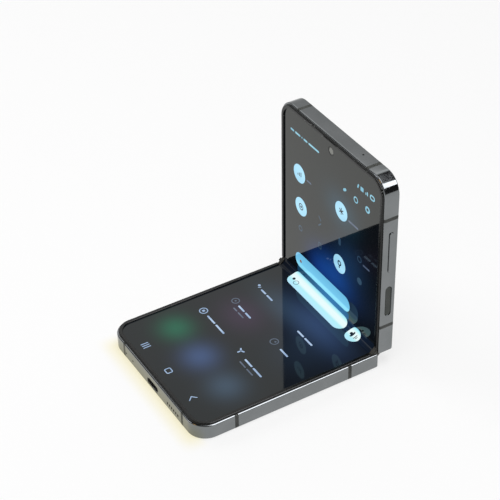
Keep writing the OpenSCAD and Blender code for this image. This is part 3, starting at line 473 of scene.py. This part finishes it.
NODE_MATERIAL = {
    "display_panel_lower": lit_film("display_lower", LOWER, LOWER_BASE, LOWER_GLOW, LOWER_GLOSS),
    "display_panel_upper": lit_film("display_upper", UPPER, UPPER_BASE, UPPER_GLOW),
    "bezel_upper": plastic("bezel_dusty", **BEZEL, dusty_above=DUSTY_ABOVE_MM),
    "end_cap_left": cap_material,
    "end_cap_right": cap_material,
    # The selfie lens's light olive-grey colour is a painted reflection.
    "selfie_lens": plastic("selfie_glass", (0.215, 0.22, 0.195), 0.12, 0.6, 0.004),
    "selfie_camera": plastic("selfie_rim", (0.030, 0.032, 0.028), 0.2),
    "camera_lens_glass": clear_glass("camera_glass"),
}


# The carried-over nodes get their materials, and their curves are shaded smooth

SMOOTH_UNDER_DEG = 32
WELD_MM = 0.0005


def smooth_shading():
    """A modifier tree that joins split vertices and shades smooth all edges under an angle."""
    group = bpy.data.node_groups.new("smooth_shading", "GeometryNodeTree")
    for way in ("INPUT", "OUTPUT"):
        group.interface.new_socket("Geometry", in_out=way, socket_type="NodeSocketGeometry")
    made = {k: group.nodes.new(v) for k, v in {
        "in": "NodeGroupInput", "out": "NodeGroupOutput", "weld": "GeometryNodeMergeByDistance",
        "drop": "GeometryNodeRemoveAttribute", "angle": "GeometryNodeInputMeshEdgeAngle",
        "flat": "FunctionNodeCompare", "edges": "GeometryNodeSetShadeSmooth",
        "faces": "GeometryNodeSetShadeSmooth"}.items()}
    made["weld"].inputs["Distance"].default_value = WELD_MM * MM
    made["drop"].inputs["Name"].default_value = "custom_normal"
    made["flat"].operation = "LESS_EQUAL"
    made["flat"].inputs["B"].default_value = math.radians(SMOOTH_UNDER_DEG)
    made["edges"].domain = "EDGE"
    for a, x, b, y in (("in", 0, "weld", 0), ("weld", 0, "drop", 0), ("drop", 0, "faces", "Geometry"),
                       ("faces", 0, "edges", "Geometry"), ("angle", 0, "flat", "A"),
                       ("flat", 0, "edges", "Shade Smooth"), ("edges", 0, "out", 0)):
        group.links.new(made[a].outputs[x], made[b].inputs[y])
    return group


SMOOTH = smooth_shading()
SLOT_OF = {sub["node"]: sub["material_slot"] for sub in frame["record"]["subparts"]}
for name, obj in NODES.items():
    obj.data.materials.clear()
    obj.data.materials.append(NODE_MATERIAL.get(name) or MATERIAL[SLOT_OF[name]])
    obj.modifiers.new("smooth_shading", "NODES").node_group = SMOOTH
    even = obj.modifiers.new("even_normals", "WEIGHTED_NORMAL")
    even.keep_sharp = True


# Outlines, as lists of x and t

def circle(x, t, r, steps=40):
    angles = [2 * math.pi * i / steps for i in range(steps)]
    return [(x + r * math.cos(a), t + r * math.sin(a)) for a in angles]


def rounded(x0, x1, t0, t1, r, steps=8):
    """A rectangle with round corners."""
    centres = ((x1 - r, t1 - r, 0), (x0 + r, t1 - r, 90), (x0 + r, t0 + r, 180), (x1 - r, t0 + r, 270))
    points = []
    for cx, ct, start in centres:
        for i in range(steps + 1):
            a = math.radians(start + 90 * i / steps)
            points.append((cx + r * math.cos(a), ct + r * math.sin(a)))
    return points


def bar(x, t, length, width, angle=0):
    """A bar with round ends, about its middle, turned by an angle in degrees."""
    c, s = math.cos(math.radians(angle)), math.sin(math.radians(angle))
    shape = rounded(-length / 2, length / 2, -width / 2, width / 2, width / 2 - 0.001, 5)
    return [(x + c * u - s * v, t + s * u + c * v) for u, v in shape]


def chevron(x, t, size, width):
    """An angle that opens to +x."""
    w = width * math.sqrt(2)
    return [(x, t), (x + size, t - size), (x + size, t - size + w), (x + w, t),
            (x + size, t + size - w), (x + size, t + size)]


def ring(x, t, r, width):
    """A round outline and its hole."""
    return (circle(x, t, r), circle(x, t, r - width))


def box_ring(x0, x1, t0, t1, r, width, hole_r):
    """A rounded rectangle and its hole."""
    return (rounded(x0, x1, t0, t1, r), rounded(x0 + width, x1 - width, t0 + width, t1 - width, hole_r))


def words(x0, t, lengths, width=0.8, gap=0.8):
    """A row of plain bars that stands for a line of words."""
    shapes = []
    for length in lengths:
        shapes.append(bar(x0 + length / 2, t, length, width))
        x0 += length + gap
    return shapes


# Solids on the display

# In mm: the longest straight part of a bend, and how far a shape has to reach over the fold to have a part
# there
BEND_STEP = 0.22
LEAST_REACH = 0.01
TAG = {-1: "_lower", 1: "_upper"}
HALF = {-1: "lower_half", 1: "upper_half"}


def new_object(name, bm, material):
    bmesh.ops.recalc_face_normals(bm, faces=bm.faces[:])
    mesh = bpy.data.meshes.new(name)
    bm.to_mesh(mesh)
    bm.free()
    mesh.materials.append(material)
    obj = bpy.data.objects.new(name, mesh)
    SCENE.collection.objects.link(obj)
    return obj


def prism(bm, outline, hole, low, high):
    """A closed flat solid between two heights, with a hole of as many points if one is given."""
    rings = {}
    for kind, loop in (("out", outline), ("in", hole)):
        if loop:
            rings[kind] = [[bm.verts.new((x, t, z)) for x, t in loop] for z in (low, high)]
            bottom, top = rings[kind]
            for i in range(len(loop)):
                bm.faces.new((bottom[i - 1], bottom[i], top[i], top[i - 1]))
    for level in (0, 1):
        out = rings["out"][level]
        if hole:
            inner = rings["in"][level]
            for i in range(len(out)):
                bm.faces.new((out[i - 1], out[i], inner[i], inner[i - 1]))
        else:
            bm.faces.new(out)


def cut(bm, y, way=1, clear=False):
    """Cuts a mesh at y. What lies on the side away from way is cleared if asked."""
    everything = bm.verts[:] + bm.edges[:] + bm.faces[:]
    bmesh.ops.bisect_plane(bm, geom=everything, plane_co=(0, y, 0), plane_no=(0, way, 0),
                           clear_inner=clear, dist=1e-5)


def bend(obj):
    """Bakes a piece's place in the scene into its mesh."""
    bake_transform(obj)


def drawn(name, material, shapes, low=-0.02, high=0.012):
    """Shapes on the display as thin solids, each an outline or an outline with its hole. They are split at
    the fold, and those that reach the part of it that bends are laid along its curve."""
    whole = bmesh.new()
    for shape in shapes:
        outline, hole = shape if isinstance(shape, tuple) else (shape, None)
        prism(whole, outline, hole, low, high)
    t_of = [v.co.y for v in whole.verts]
    crosses = min(t_of) < FOLD_LEN and max(t_of) > -FOLD_LEN
    steps = math.ceil(FOLD_LEN / BEND_STEP)
    made = []
    for side, reach in ((-1, -min(t_of)), (1, max(t_of))):
        if reach < LEAST_REACH:
            continue
        bm = whole.copy()
        if crosses:
            for i in range(steps + 1):
                cut(bm, side * FOLD_LEN * i / steps, side, clear=i == 0)
            bmesh.ops.holes_fill(bm, edges=[e for e in bm.edges if e.is_boundary])
        across = bm.verts.layers.float.new(ACROSS)
        for v in bm.verts:
            v[across] = v.co.y
            v.co = on_display(*v.co)
        obj = new_object(name + TAG[side], bm, material)
        if crosses:
            bend(obj)
        else:
            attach(obj, HALF[side])
        made.append(obj)
    whole.free()
    return made


# The part of the display that bends over the hinge

fold_material = lit_film("display_fold", SPINE, FOLD_BASE, FOLD_GLOW, FOLD_GLOSS)
strip = [(-FOLD_X, -FOLD_LEN), (FOLD_X, -FOLD_LEN), (FOLD_X, FOLD_LEN), (-FOLD_X, FOLD_LEN)]
for piece in drawn("display_fold_strip", fold_material, [strip], -PANEL_T, 0.0):
    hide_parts("display_fold")


# The flexible circuit that crosses the spine

CIRCUIT_BENDS = 8
CIRCUIT_CORNER_MM = 0.01


def hinge_circuit(material):
    """Two pieces in place of the hinge's flex circuit, one on each side of the fold."""
    low, high = box_in(SPINE, "hinge_flex")
    for side, far_y in ((-1, low.y), (1, high.y)):
        bm = bmesh.new()
        outline = rounded(low.x, high.x, min(0, far_y), max(0, far_y), CIRCUIT_CORNER_MM, 1)
        prism(bm, outline, None, low.z, high.z)
        for i in range(1, CIRCUIT_BENDS):
            cut(bm, far_y * i / CIRCUIT_BENDS)
        for v in bm.verts:
            v.co = SPINE @ v.co
        piece = new_object("hinge_circuit" + TAG[side], bm, material)
        bend(piece)
        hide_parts("hinge_flex")


hinge_circuit(plastic("flex_black", (0.020, 0.021, 0.023), 0.35))


# What the two displays show: sliders, round switches, plain bars where a line of words would be

# The white slider and its round button are lit brightest from t -1.3 to 0: a painted highlight of the
# crease over their own white light.
ui_white = lit_across("ui_white", [
    (-5.0, (0.47, 0.80, 0.97)), (-3.0, (0.45, 0.86, 0.94)), (-1.3, (0.80, 0.97, 0.98)),
    (0.0, (0.80, 0.96, 0.97)), (1.1, (0.52, 0.93, 0.97)), (2.1, (0.24, 0.66, 0.86))])
ui_cyan = lit_across("ui_cyan", [
    (5.2, (0.24, 0.66, 0.88)), (6.6, (0.25, 0.73, 0.94)),
    (8.0, (0.18, 0.57, 0.84)), (12.5, (0.15, 0.50, 0.76))], UPPER_GLOSS)
ui_switch = lit_shape("ui_switch", (0.33, 0.66, 0.87), (0.39, 0.74, 0.95), 10)
ui_status = lit_shape("ui_status", (0.17, 0.45, 0.60), (0.26, 0.58, 0.72), 6)
ui_text = lit_shape("ui_text", (0.30, 0.43, 0.64), (0.45, 0.60, 0.82), 6, LOWER_GLOSS)
ui_faint = lit_shape("ui_faint", (0.06, 0.09, 0.15), (0.10, 0.13, 0.20), 6)
ui_slate = lit_shape("ui_slate", (0.020, 0.050, 0.095), (0.030, 0.070, 0.120), 6)
ui_track = lit_shape("ui_track", (0.009, 0.024, 0.050), (0.013, 0.034, 0.064), 6, FOLD_GLOSS)
ui_dark = lit_shape("ui_dark", (0.004, 0.009, 0.022), (0.006, 0.012, 0.030), 6)
ui_band = lit_film("ui_band", SPINE, BAND_BASE, BAND_GLOW, BAND_GLOSS)
ui_warm = lit_shape("ui_warm", (0.16, 0.085, 0.06), (0.22, 0.11, 0.08), 6)

# Heights over the display in mm: of a mark on something lit, and of the tops of what lies lowest
MARK = dict(low=0.004, high=0.024)
BAND_TOP = 0.006
TRACK_TOP = 0.008
FAINT_TOP = 0.01
SLIDER_X = (-25.0, 15.4)
SLIDER_R = 3.6

# The white slider lies across the fold, with its round button beside it
SOUND_T = (-5.2, 2.1)
BUTTON_T = -1.3
drawn("slider_sound", ui_white, [rounded(*SLIDER_X, *SOUND_T, SLIDER_R)])
drawn("slider_sound_mark", ui_dark, [circle(-22.3, -1.9, 0.7)], **MARK)
drawn("slider_sound_ring", ui_faint, [ring(-19.6, -2.6, 1.3, 0.25)], **MARK)
drawn("sound_button", ui_white, [circle(21.45, -1.4, 3.55)])
drawn("sound_button_mark", ui_dark, [
    bar(20.0, BUTTON_T, 1.5, 1.3), bar(20.9, BUTTON_T, 2.9, 0.9, 90),
    bar(22.7, BUTTON_T, 2.2, 0.35, 90), bar(23.5, BUTTON_T, 1.3, 0.3, 90)], **MARK)

# The pale slider lies on the upper half, on a darker track, with a blue band between the sliders
LIGHT_T = (t_up(6.0), t_up(13.3))
band = rounded(SLIDER_X[0] + 1.5, SLIDER_X[1] - 0.5, 1.9, t_up(6.2), 1.0)
drawn("slider_band", ui_band, [band], high=BAND_TOP)
drawn("slider_light_track", ui_track, [rounded(14.0, 21.4, *LIGHT_T, 3.4)], high=TRACK_TOP)
drawn("slider_light", ui_cyan, [rounded(*SLIDER_X, *LIGHT_T, SLIDER_R)])
drawn("slider_light_mark", ui_warm, [circle(-21.0, t_up(9.4), 0.7)], **MARK)


# Upper display: round switches with their marks

def fan(x, t):
    return [bar(x - 1.0 + 1.1 * k, t - 0.6 + 0.35 * k, 1.0 + 0.7 * k, 0.5, 90) for k in range(3)]


def target(x, t):
    return [ring(x, t, 1.6, 0.45), circle(x, t, 0.6)]


def star(x, t):
    return [bar(x, t, 3.4, 0.5, angle) for angle in (30, 90, 150)]


def pin(x, t):
    return [ring(x, t + 0.4, 1.3, 0.6), bar(x, t - 1.5, 1.2, 0.7, 90)]


SWITCH_R = 4.2
TOP_ROW = 53.0
MIDDLE_ROW = 37.5
LOW_ROW = 26.8
SWITCHES_ON = [
    (-22.4, TOP_ROW, fan), (-21.0, MIDDLE_ROW, target),
    (7.8, TOP_ROW, star), (7.4, LOW_ROW, pin),
]
drawn("switches_on", ui_switch, [circle(x, t_up(s), SWITCH_R, 64) for x, s, _ in SWITCHES_ON])
switch_marks = [shape for x, s, mark in SWITCHES_ON for shape in mark(x, t_up(s))]
drawn("switches_on_marks", ui_dark, switch_marks, **MARK)
drawn("switches_off", ui_slate, [
    ring(-21.3, t_up(26.4), 1.4, 0.5),
    bar(-7.1, t_up(37.2), 2.6, 0.6, 45),
    bar(-7.1, t_up(40.2), 2.6, 0.6, -45),
    box_ring(-7.9, -5.7, t_up(25.2), t_up(28.4), 0.5, 0.5, 0.3),
    rounded(6.4, 8.0, t_up(36.0), t_up(39.6), 0.7),
    ring(21.0, t_up(38.0), 1.5, 0.5),
    circle(21.5, t_up(27.5), 1.6),
])
drawn("switch_words", ui_faint, [
    *words(-17.0, t_up(TOP_ROW), (3.4,)),
    *words(12.8, t_up(51.6), (6.8,), 0.9),
    *words(23.4, t_up(36.8), (4.6,)),
], high=FAINT_TOP)

# Upper display: one line of status at the top, and three small tools
drawn("status_words", ui_status, words(-29.0, t_up(71.2), (2.6, 3.8, 0.7, 2.8, 7.6), 0.9))
drawn("status_marks", ui_status, [
    bar(18.6, t_up(71.4), 2.0, 0.8, 70),
    rounded(20.2, 22.2, t_up(70.4), t_up(72.3), 0.4),
    bar(23.8, t_up(71.0), 1.2, 0.6, 90),
    bar(24.8, t_up(71.3), 1.9, 0.6, 90),
    box_ring(26.4, 29.6, t_up(70.2), t_up(72.6), 1.1, 0.6, 0.55),
])
drawn("tool_marks", ui_status, [
    bar(9.8, t_up(64.4), 2.4, 1.2, 35),
    ring(17.4, t_up(64.2), 1.45, 0.5),
    ring(25.2, t_up(64.3), 1.5, 0.8),
])

# Lower display: lines of words by the x of their first bar, their s and their bars' lengths
LOWER_LINES = [
    (-23.5, 18.2, (3.6, 4.4)), (-19.5, 31.6, (4.6, 4.2)), (-20.8, 45.6, (6.0, 6.6)),
    (12.6, 31.4, (5.6,)), (10.4, 46.4, (5.4, 6.2)), (6.9, 19.6, (4.6, 5.4)),
]
FAINT_LINES = [(-19.5, 34.0, (2.8, 4.2)), (10.4, 48.8, (4.4, 4.6))]
drawn("lower_words", ui_text,
      [shape for x, s, lengths in LOWER_LINES for shape in words(x, t_down(s), lengths)])
drawn("lower_words_faint", ui_faint,
      [shape for x, s, lengths in FAINT_LINES for shape in words(x, t_down(s), lengths, 0.6)])


# Lower display: small marks

def trefoil(x, t, r):
    """Three bars that point away from a centre."""
    return [bar(x + r * math.cos(math.radians(a)), t + r * math.sin(math.radians(a)), 1.5, 0.7, a)
            for a in (30, 150, 270)]


drawn("lower_marks", ui_text, [
    ring(-24.4, t_down(45.4), 1.9, 0.45),
    rounded(-25.0, -23.8, t_down(46.0), t_down(44.8), 0.2),
    circle(-26.4, t_down(17.4), 0.6),
    bar(-25.2, t_down(18.0), 1.4, 0.4, 60),
    *trefoil(5.2, t_down(45.2), 0.95),
])
drawn("lower_marks_faint", ui_faint, [
    ring(-22.9, t_down(31.0), 1.8, 0.4),
    circle(-22.9, t_down(31.0), 0.45),
    ring(7.5, t_down(31.0), 1.9, 0.4),
    circle(7.9, t_down(30.7), 0.45),
])
drawn("navigation_marks", ui_text, [
    *(bar(-19.2 + 1.2 * k, t_down(75.7), 3.4, 0.45, 90) for k in range(3)),
    box_ring(-1.4, 1.7, t_down(76.7), t_down(73.8), 0.8, 0.45, 0.35),
    chevron(17.6, t_down(75.0), 2.0, 0.4),
])


# Turned pieces on the back of the upper half

def lathe(name, material, centre, profile, steps=72):
    """A solid turned about a line square to the back of the upper half. The profile is r and z in mm."""
    bm = bmesh.new()
    rings = []
    for r, z in profile:
        if r == 0:
            rings.append([bm.verts.new((centre.x, centre.y, z))] * steps)
        else:
            rings.append([bm.verts.new((x, y, z)) for x, y in circle(centre.x, centre.y, r, steps)])
    for k in range(len(rings)):
        a, b = rings[k - 1], rings[k]
        for i in range(steps):
            corners = list(dict.fromkeys((a[i - 1], a[i], b[i], b[i - 1])))
            if len(corners) > 2:
                bm.faces.new(corners)
    for v in bm.verts:
        v.co = UPPER @ v.co
    obj = new_object(name, bm, material)
    obj.modifiers.new("smooth_shading", "NODES").node_group = SMOOTH
    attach(obj, "upper_half")


def dome(r, edge_z, crown_z, parts=7):
    """Points of a crowned lens from its edge to its middle."""
    angles = [math.pi / 2 * i / parts for i in range(parts)]
    return [(r * math.cos(a), edge_z + (crown_z - edge_z) * math.sin(a)) for a in angles] + [(0, crown_z)]


# Under the glass of each rear camera: a stepped baffle, a bright trim ring, a coated lens and its iris

# Radii and heights in mm, with the outside of the phone towards smaller z
LENS_R = {"wide": 2.35, "ultrawide": 1.95}
LENS_GAP = 0.05
WELL_R = 4.0
BARREL_Z = -0.12
SEAT_Z = -0.20
BAFFLE_TOP_Z = -0.50
TRIM_Z = (-0.505, -0.55)
TRIM_IN_R = (3.76, 3.84)
LENS_CROWN_Z = -0.44
IRIS_R = 0.95
IRIS_Z = (-0.30, -0.405, -0.452)
STEPS = ((3.72, BAFFLE_TOP_Z), (3.55, -0.42), (3.32, -0.42), (3.15, -0.34), (2.92, -0.34),
         (2.75, -0.26), (2.55, -0.26))
baffle_material = plastic("baffle_plastic", (0.008, 0.0085, 0.010), 0.32, 0.25, 0.002)
trim_material = metal("trim_metal", (0.30, 0.31, 0.33), (0.38, 0.39, 0.41), 0.15)
lens_material = coated_lens("lens_coating", (0.010, 0.012, 0.045), (0.055, 0.020, 0.070))
iris_material = plastic("iris_dark", (0.002, 0.002, 0.003), 0.12, 3.0, 0.0005)


def rear_camera(which, lens_r):
    low, high = box_in(UPPER, "camera_ring_" + which)
    centre = (low + high) / 2
    hole_r = lens_r + LENS_GAP
    baffle = [(WELL_R, BARREL_Z), (WELL_R, BAFFLE_TOP_Z), *STEPS, (hole_r, SEAT_Z), (hole_r, BARREL_Z)]
    lathe("camera_baffle_" + which, baffle_material, centre, baffle)
    trim = [(WELL_R, TRIM_Z[0]), (WELL_R, TRIM_Z[1]), (TRIM_IN_R[1], TRIM_Z[1]), (TRIM_IN_R[0], TRIM_Z[0])]
    lathe("camera_trim_" + which, trim_material, centre, trim)
    lens = [(0, BARREL_Z), (lens_r, BARREL_Z), *dome(lens_r, SEAT_Z, LENS_CROWN_Z)]
    lathe("camera_dome_" + which, lens_material, centre, lens)
    inner_z, edge_z, crown_z = IRIS_Z
    iris = [(0, inner_z), (IRIS_R, inner_z), *dome(IRIS_R, edge_z, crown_z)]
    lathe("camera_iris_" + which, iris_material, centre, iris)


for which, lens_r in LENS_R.items():
    rear_camera(which, lens_r)


# Fine rings in the flash lens, with radii and heights in mm

FLASH_R = 1.5
FLASH_BASE_Z = 0.02
RIPPLE_PITCH = 0.25
RIPPLE_COUNT = 6
# One ripple, from its outer foot over its crest to its inner foot, as steps inwards and heights
RIPPLE = ((0, -0.01), (0.05, -0.045), (0.2, -0.015))


def flash_ripples():
    low, high = box_in(UPPER, "flash_lens")
    profile = [(0, FLASH_BASE_Z), (FLASH_R, FLASH_BASE_Z)]
    for k in range(RIPPLE_COUNT):
        profile += [(FLASH_R - RIPPLE_PITCH * k - step, z) for step, z in RIPPLE]
    profile.append((0, RIPPLE[-1][1]))
    lathe("flash_ripples", MATERIAL["flash_diffuser"], (low + high) / 2, profile)


flash_ripples()


# Contact strips on both faces of the socket's tongue

CONTACT_COUNT = 8
CONTACT_SIZE = Vector((0.24, 1.3, 0.03))
CONTACT_INSET = 0.25


def usb_contacts(material):
    low, high = box_in(LOWER, "usb_tongue")
    pitch = (high.x - low.x) / CONTACT_COUNT
    y = high.y - CONTACT_SIZE.y / 2 - CONTACT_INSET
    scale = Matrix.Diagonal((*CONTACT_SIZE, 1))
    bm = bmesh.new()
    for face_z, side in ((low.z, -1), (high.z, 1)):
        for k in range(CONTACT_COUNT):
            place = Vector((low.x + pitch * (k + 0.5), y, face_z + side * CONTACT_SIZE.z / 2))
            bmesh.ops.create_cube(bm, size=1, matrix=LOWER @ Matrix.Translation(place) @ scale)
    contacts = new_object("usb_contacts", bm, material)
    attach(contacts, "lower_half")


usb_contacts(metal("contact_gold", (0.62, 0.46, 0.16), (0.75, 0.58, 0.24), 0.25))


# Floor

FLOOR_HALF = 3.0
FLOOR_ALBEDO = 0.25
FLOOR_LIGHT = 0.74
WARM = (0.965, 0.90, 0.62)
# The painted warm glow in mm: its reach before the near end, where it ends under the body, and its sides
WARM_REACH = 8
WARM_UNDER = (5, 1)
WARM_SIDES = (4, -6)


def floor():
    """A white floor that gives most of its light by itself, with a painted warm glow along the near end.
    """
    bm = bmesh.new()
    corners = ((-1, -1), (1, -1), (1, 1), (-1, 1))
    bm.faces.new([bm.verts.new((FLOOR_HALF * x, FLOOR_HALF * y, 0)) for x, y in corners])
    material, tree, bsdf = new_tree("floor")
    obj = new_object("floor", bm, material)
    bsdf.inputs["Base Color"].default_value = (FLOOR_ALBEDO, FLOOR_ALBEDO, FLOOR_ALBEDO, 1)
    bsdf.inputs["Roughness"].default_value = 1.0
    bsdf.inputs["Specular IOR Level"].default_value = 0.0
    place = split(tree, object_point(tree))
    end_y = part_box("frame_lower")[0].y
    across = maths(tree, "ABSOLUTE", place["X"])
    warm = product(tree, fade(tree, place["Y"], end_y - WARM_REACH * MM, end_y),
                   fade(tree, place["Y"], *(end_y + reach * MM for reach in WARM_UNDER)),
                   fade(tree, across, *((HALF_W + reach) * MM for reach in WARM_SIDES)))
    link(tree, mixed(tree, warm, (1, 1, 1), WARM), bsdf.inputs["Emission Color"])
    bsdf.inputs["Emission Strength"].default_value = FLOOR_LIGHT


# The room round the object

WHITE = 0.973
ROOM = (0.035, 0.035, 0.036)

# The white sweep behind the object, and its brightness under and over a step. Heights are the z of
# a direction. Of two values, the first is where a light is gone and the second where it is full
SWEEP_TOWARDS = (-0.85, 0.53, 0)
SWEEP_SIDES_DEG = (66, 48)
SWEEP_TOP = (0.78, 0.70)
SWEEP_STEP = (0.565, 0.59)
LOW_SWEEP = 0.60
HIGH_SWEEP = 1.3

# The window on the right side has two panes. Each has its levels by angle over the horizon in
# degrees, and the stretch of y of a direction that it fills
WINDOW = (5.5, 5.5, 5.665)
TALL_PANE = (((32.4, 0.0), (33.4, 1.0), (92, 1.0), (118, 0.16), (128, 0.0)), 0.10, 0.47)
LOW_PANE = (((32.4, 0.0), (33.4, 1.2), (56, 1.2), (59, 0.0)), 0.47, 0.80)
PANE_FADE = 0.02

# Round lamps: direction, angles from it in degrees and colour
PALE_LAMP = ((-0.47, -0.66, 0.58), (14, 8), (3, 3, 3.2))
ORANGE_LAMP = ((0.0, -0.82, 0.57), (11, 6), (3, 1.7, 0.5))
FRONT_LAMP = ((0.60, -0.75, 0.30), (60, 10), (0.25, 0.25, 0.25))


def world():
    """A studio: a white sweep behind the object and dark sides. The window, the pale lamp and the
    orange one show in gloss alone, and the camera sees plain white."""
    made = bpy.data.worlds.new("studio")
    SCENE.world = made
    made.use_nodes = True
    tree = made.node_tree
    tree.nodes.clear()
    direction = node(tree, "TexCoord").outputs["Generated"]
    place = split(tree, direction)
    glossy = node(tree, "LightPath").outputs["Is Glossy Ray"]
    half_turns = maths(tree, "DIVIDE", maths(tree, "ARCTAN2", place["Z"], place["X"]), math.pi)

    def within(vector, towards, degrees):
        """Fades by the angle between a vector socket and a direction."""
        edges = [math.cos(math.radians(a)) for a in degrees]
        return fade(tree, along(tree, vector, Vector(towards).normalized()), *edges)

    def lamp(towards, degrees, colour, *factors):
        return tinted(tree, product(tree, within(direction, towards, degrees), *factors), colour)

    def pane(levels, y_near, y_far):
        colours = node(tree, "ValToRGB")
        link(tree, half_turns, colours.inputs["Fac"])
        for _ in levels[2:]:
            colours.color_ramp.elements.new(0.5)
        for element, (angle, level) in zip(colours.color_ramp.elements, levels):
            element.position = angle / 180
            element.color = (level, level, level, 1)
        return product(tree, colours.outputs["Color"], fade(tree, place["Y"], y_near, y_near + PANE_FADE),
                       fade(tree, place["Y"], y_far, y_far - PANE_FADE), glossy)

    level = node(tree, "VectorMath", {1: (1, 1, 0)}, operation="MULTIPLY")
    link(tree, direction, level.inputs[0])
    flat = node(tree, "VectorMath", operation="NORMALIZE")
    link(tree, level.outputs[0], flat.inputs[0])
    sweep = product(tree, within(flat.outputs[0], SWEEP_TOWARDS, SWEEP_SIDES_DEG),
                    fade(tree, place["Z"], *SWEEP_TOP))
    upper_sweep = product(tree, sweep, fade(tree, place["Z"], *SWEEP_STEP))

    lights = [
        tinted(tree, sweep, [LOW_SWEEP] * 3),
        tinted(tree, upper_sweep, [HIGH_SWEEP - LOW_SWEEP] * 3),
        tinted(tree, pane(*TALL_PANE), WINDOW),
        tinted(tree, pane(*LOW_PANE), WINDOW),
        lamp(*PALE_LAMP, glossy),
        lamp(*ORANGE_LAMP, glossy),
        lamp(*FRONT_LAMP),
    ]
    seen = node(tree, "Background", {"Color": (WHITE, WHITE, WHITE, 1)})
    light = node(tree, "Background")
    link(tree, colour_sum(tree, ROOM, lights), light.inputs["Color"])
    choose = node(tree, "MixShader")
    link(tree, node(tree, "LightPath").outputs["Is Camera Ray"], choose.inputs["Fac"])
    link(tree, light.outputs[0], choose.inputs[1])
    link(tree, seen.outputs[0], choose.inputs[2])
    link(tree, choose.outputs[0], node(tree, "OutputWorld").inputs["Surface"])


# Lamps and camera

def soft_light(name, place, size, power):
    """A large soft lamp aimed at the object. It isn't mirrored in gloss."""
    data = bpy.data.lights.new(name, "AREA")
    data.shape = "DISK"
    data.size = size
    data.energy = power
    obj = bpy.data.objects.new(name, data)
    SCENE.collection.objects.link(obj)
    obj.location = place
    obj.rotation_euler = (-Vector(place)).to_track_quat("-Z", "Y").to_euler()
    obj.visible_glossy = False


def camera():
    """The photograph's camera, with its lens for a 500 by 500 pixel image, aimed at a point above the
    lower half.
    """
    azimuth, elevation, roll = (math.radians(a) for a in (59.769, 37.609, -1.332))
    distance, right_shift, up_shift = 0.61308, 0.003548, 0.009952
    focal_px, image_px, sensor_mm = 1578.68, 500, 36.0
    target = Vector((0, 0, 0.040))
    back = Vector((math.sin(azimuth) * math.cos(elevation), -math.cos(azimuth) * math.cos(elevation),
                   math.sin(elevation)))
    right = Vector((math.cos(azimuth), math.sin(azimuth), 0))
    up = back.cross(right)
    rolled_right = right * math.cos(roll) + up * math.sin(roll)
    rolled_up = up * math.cos(roll) - right * math.sin(roll)
    place = target + back * distance + rolled_right * right_shift + rolled_up * up_shift
    data = bpy.data.cameras.new("camera")
    data.sensor_width = sensor_mm
    data.lens = focal_px * sensor_mm / image_px
    obj = bpy.data.objects.new("camera", data)
    SCENE.collection.objects.link(obj)
    turn = Matrix((rolled_right, rolled_up, back)).transposed().to_4x4()
    obj.matrix_world = Matrix.Translation(place) @ turn
    SCENE.camera = obj


floor()
world()
soft_light("overhead", place=(0.15, -0.1, 1.1), size=0.9, power=9)
soft_light("side", place=(-0.8, -0.5, 0.7), size=0.7, power=3)
camera()
SCENE.view_settings.view_transform = "Standard"
SCENE.view_settings.look = "None"
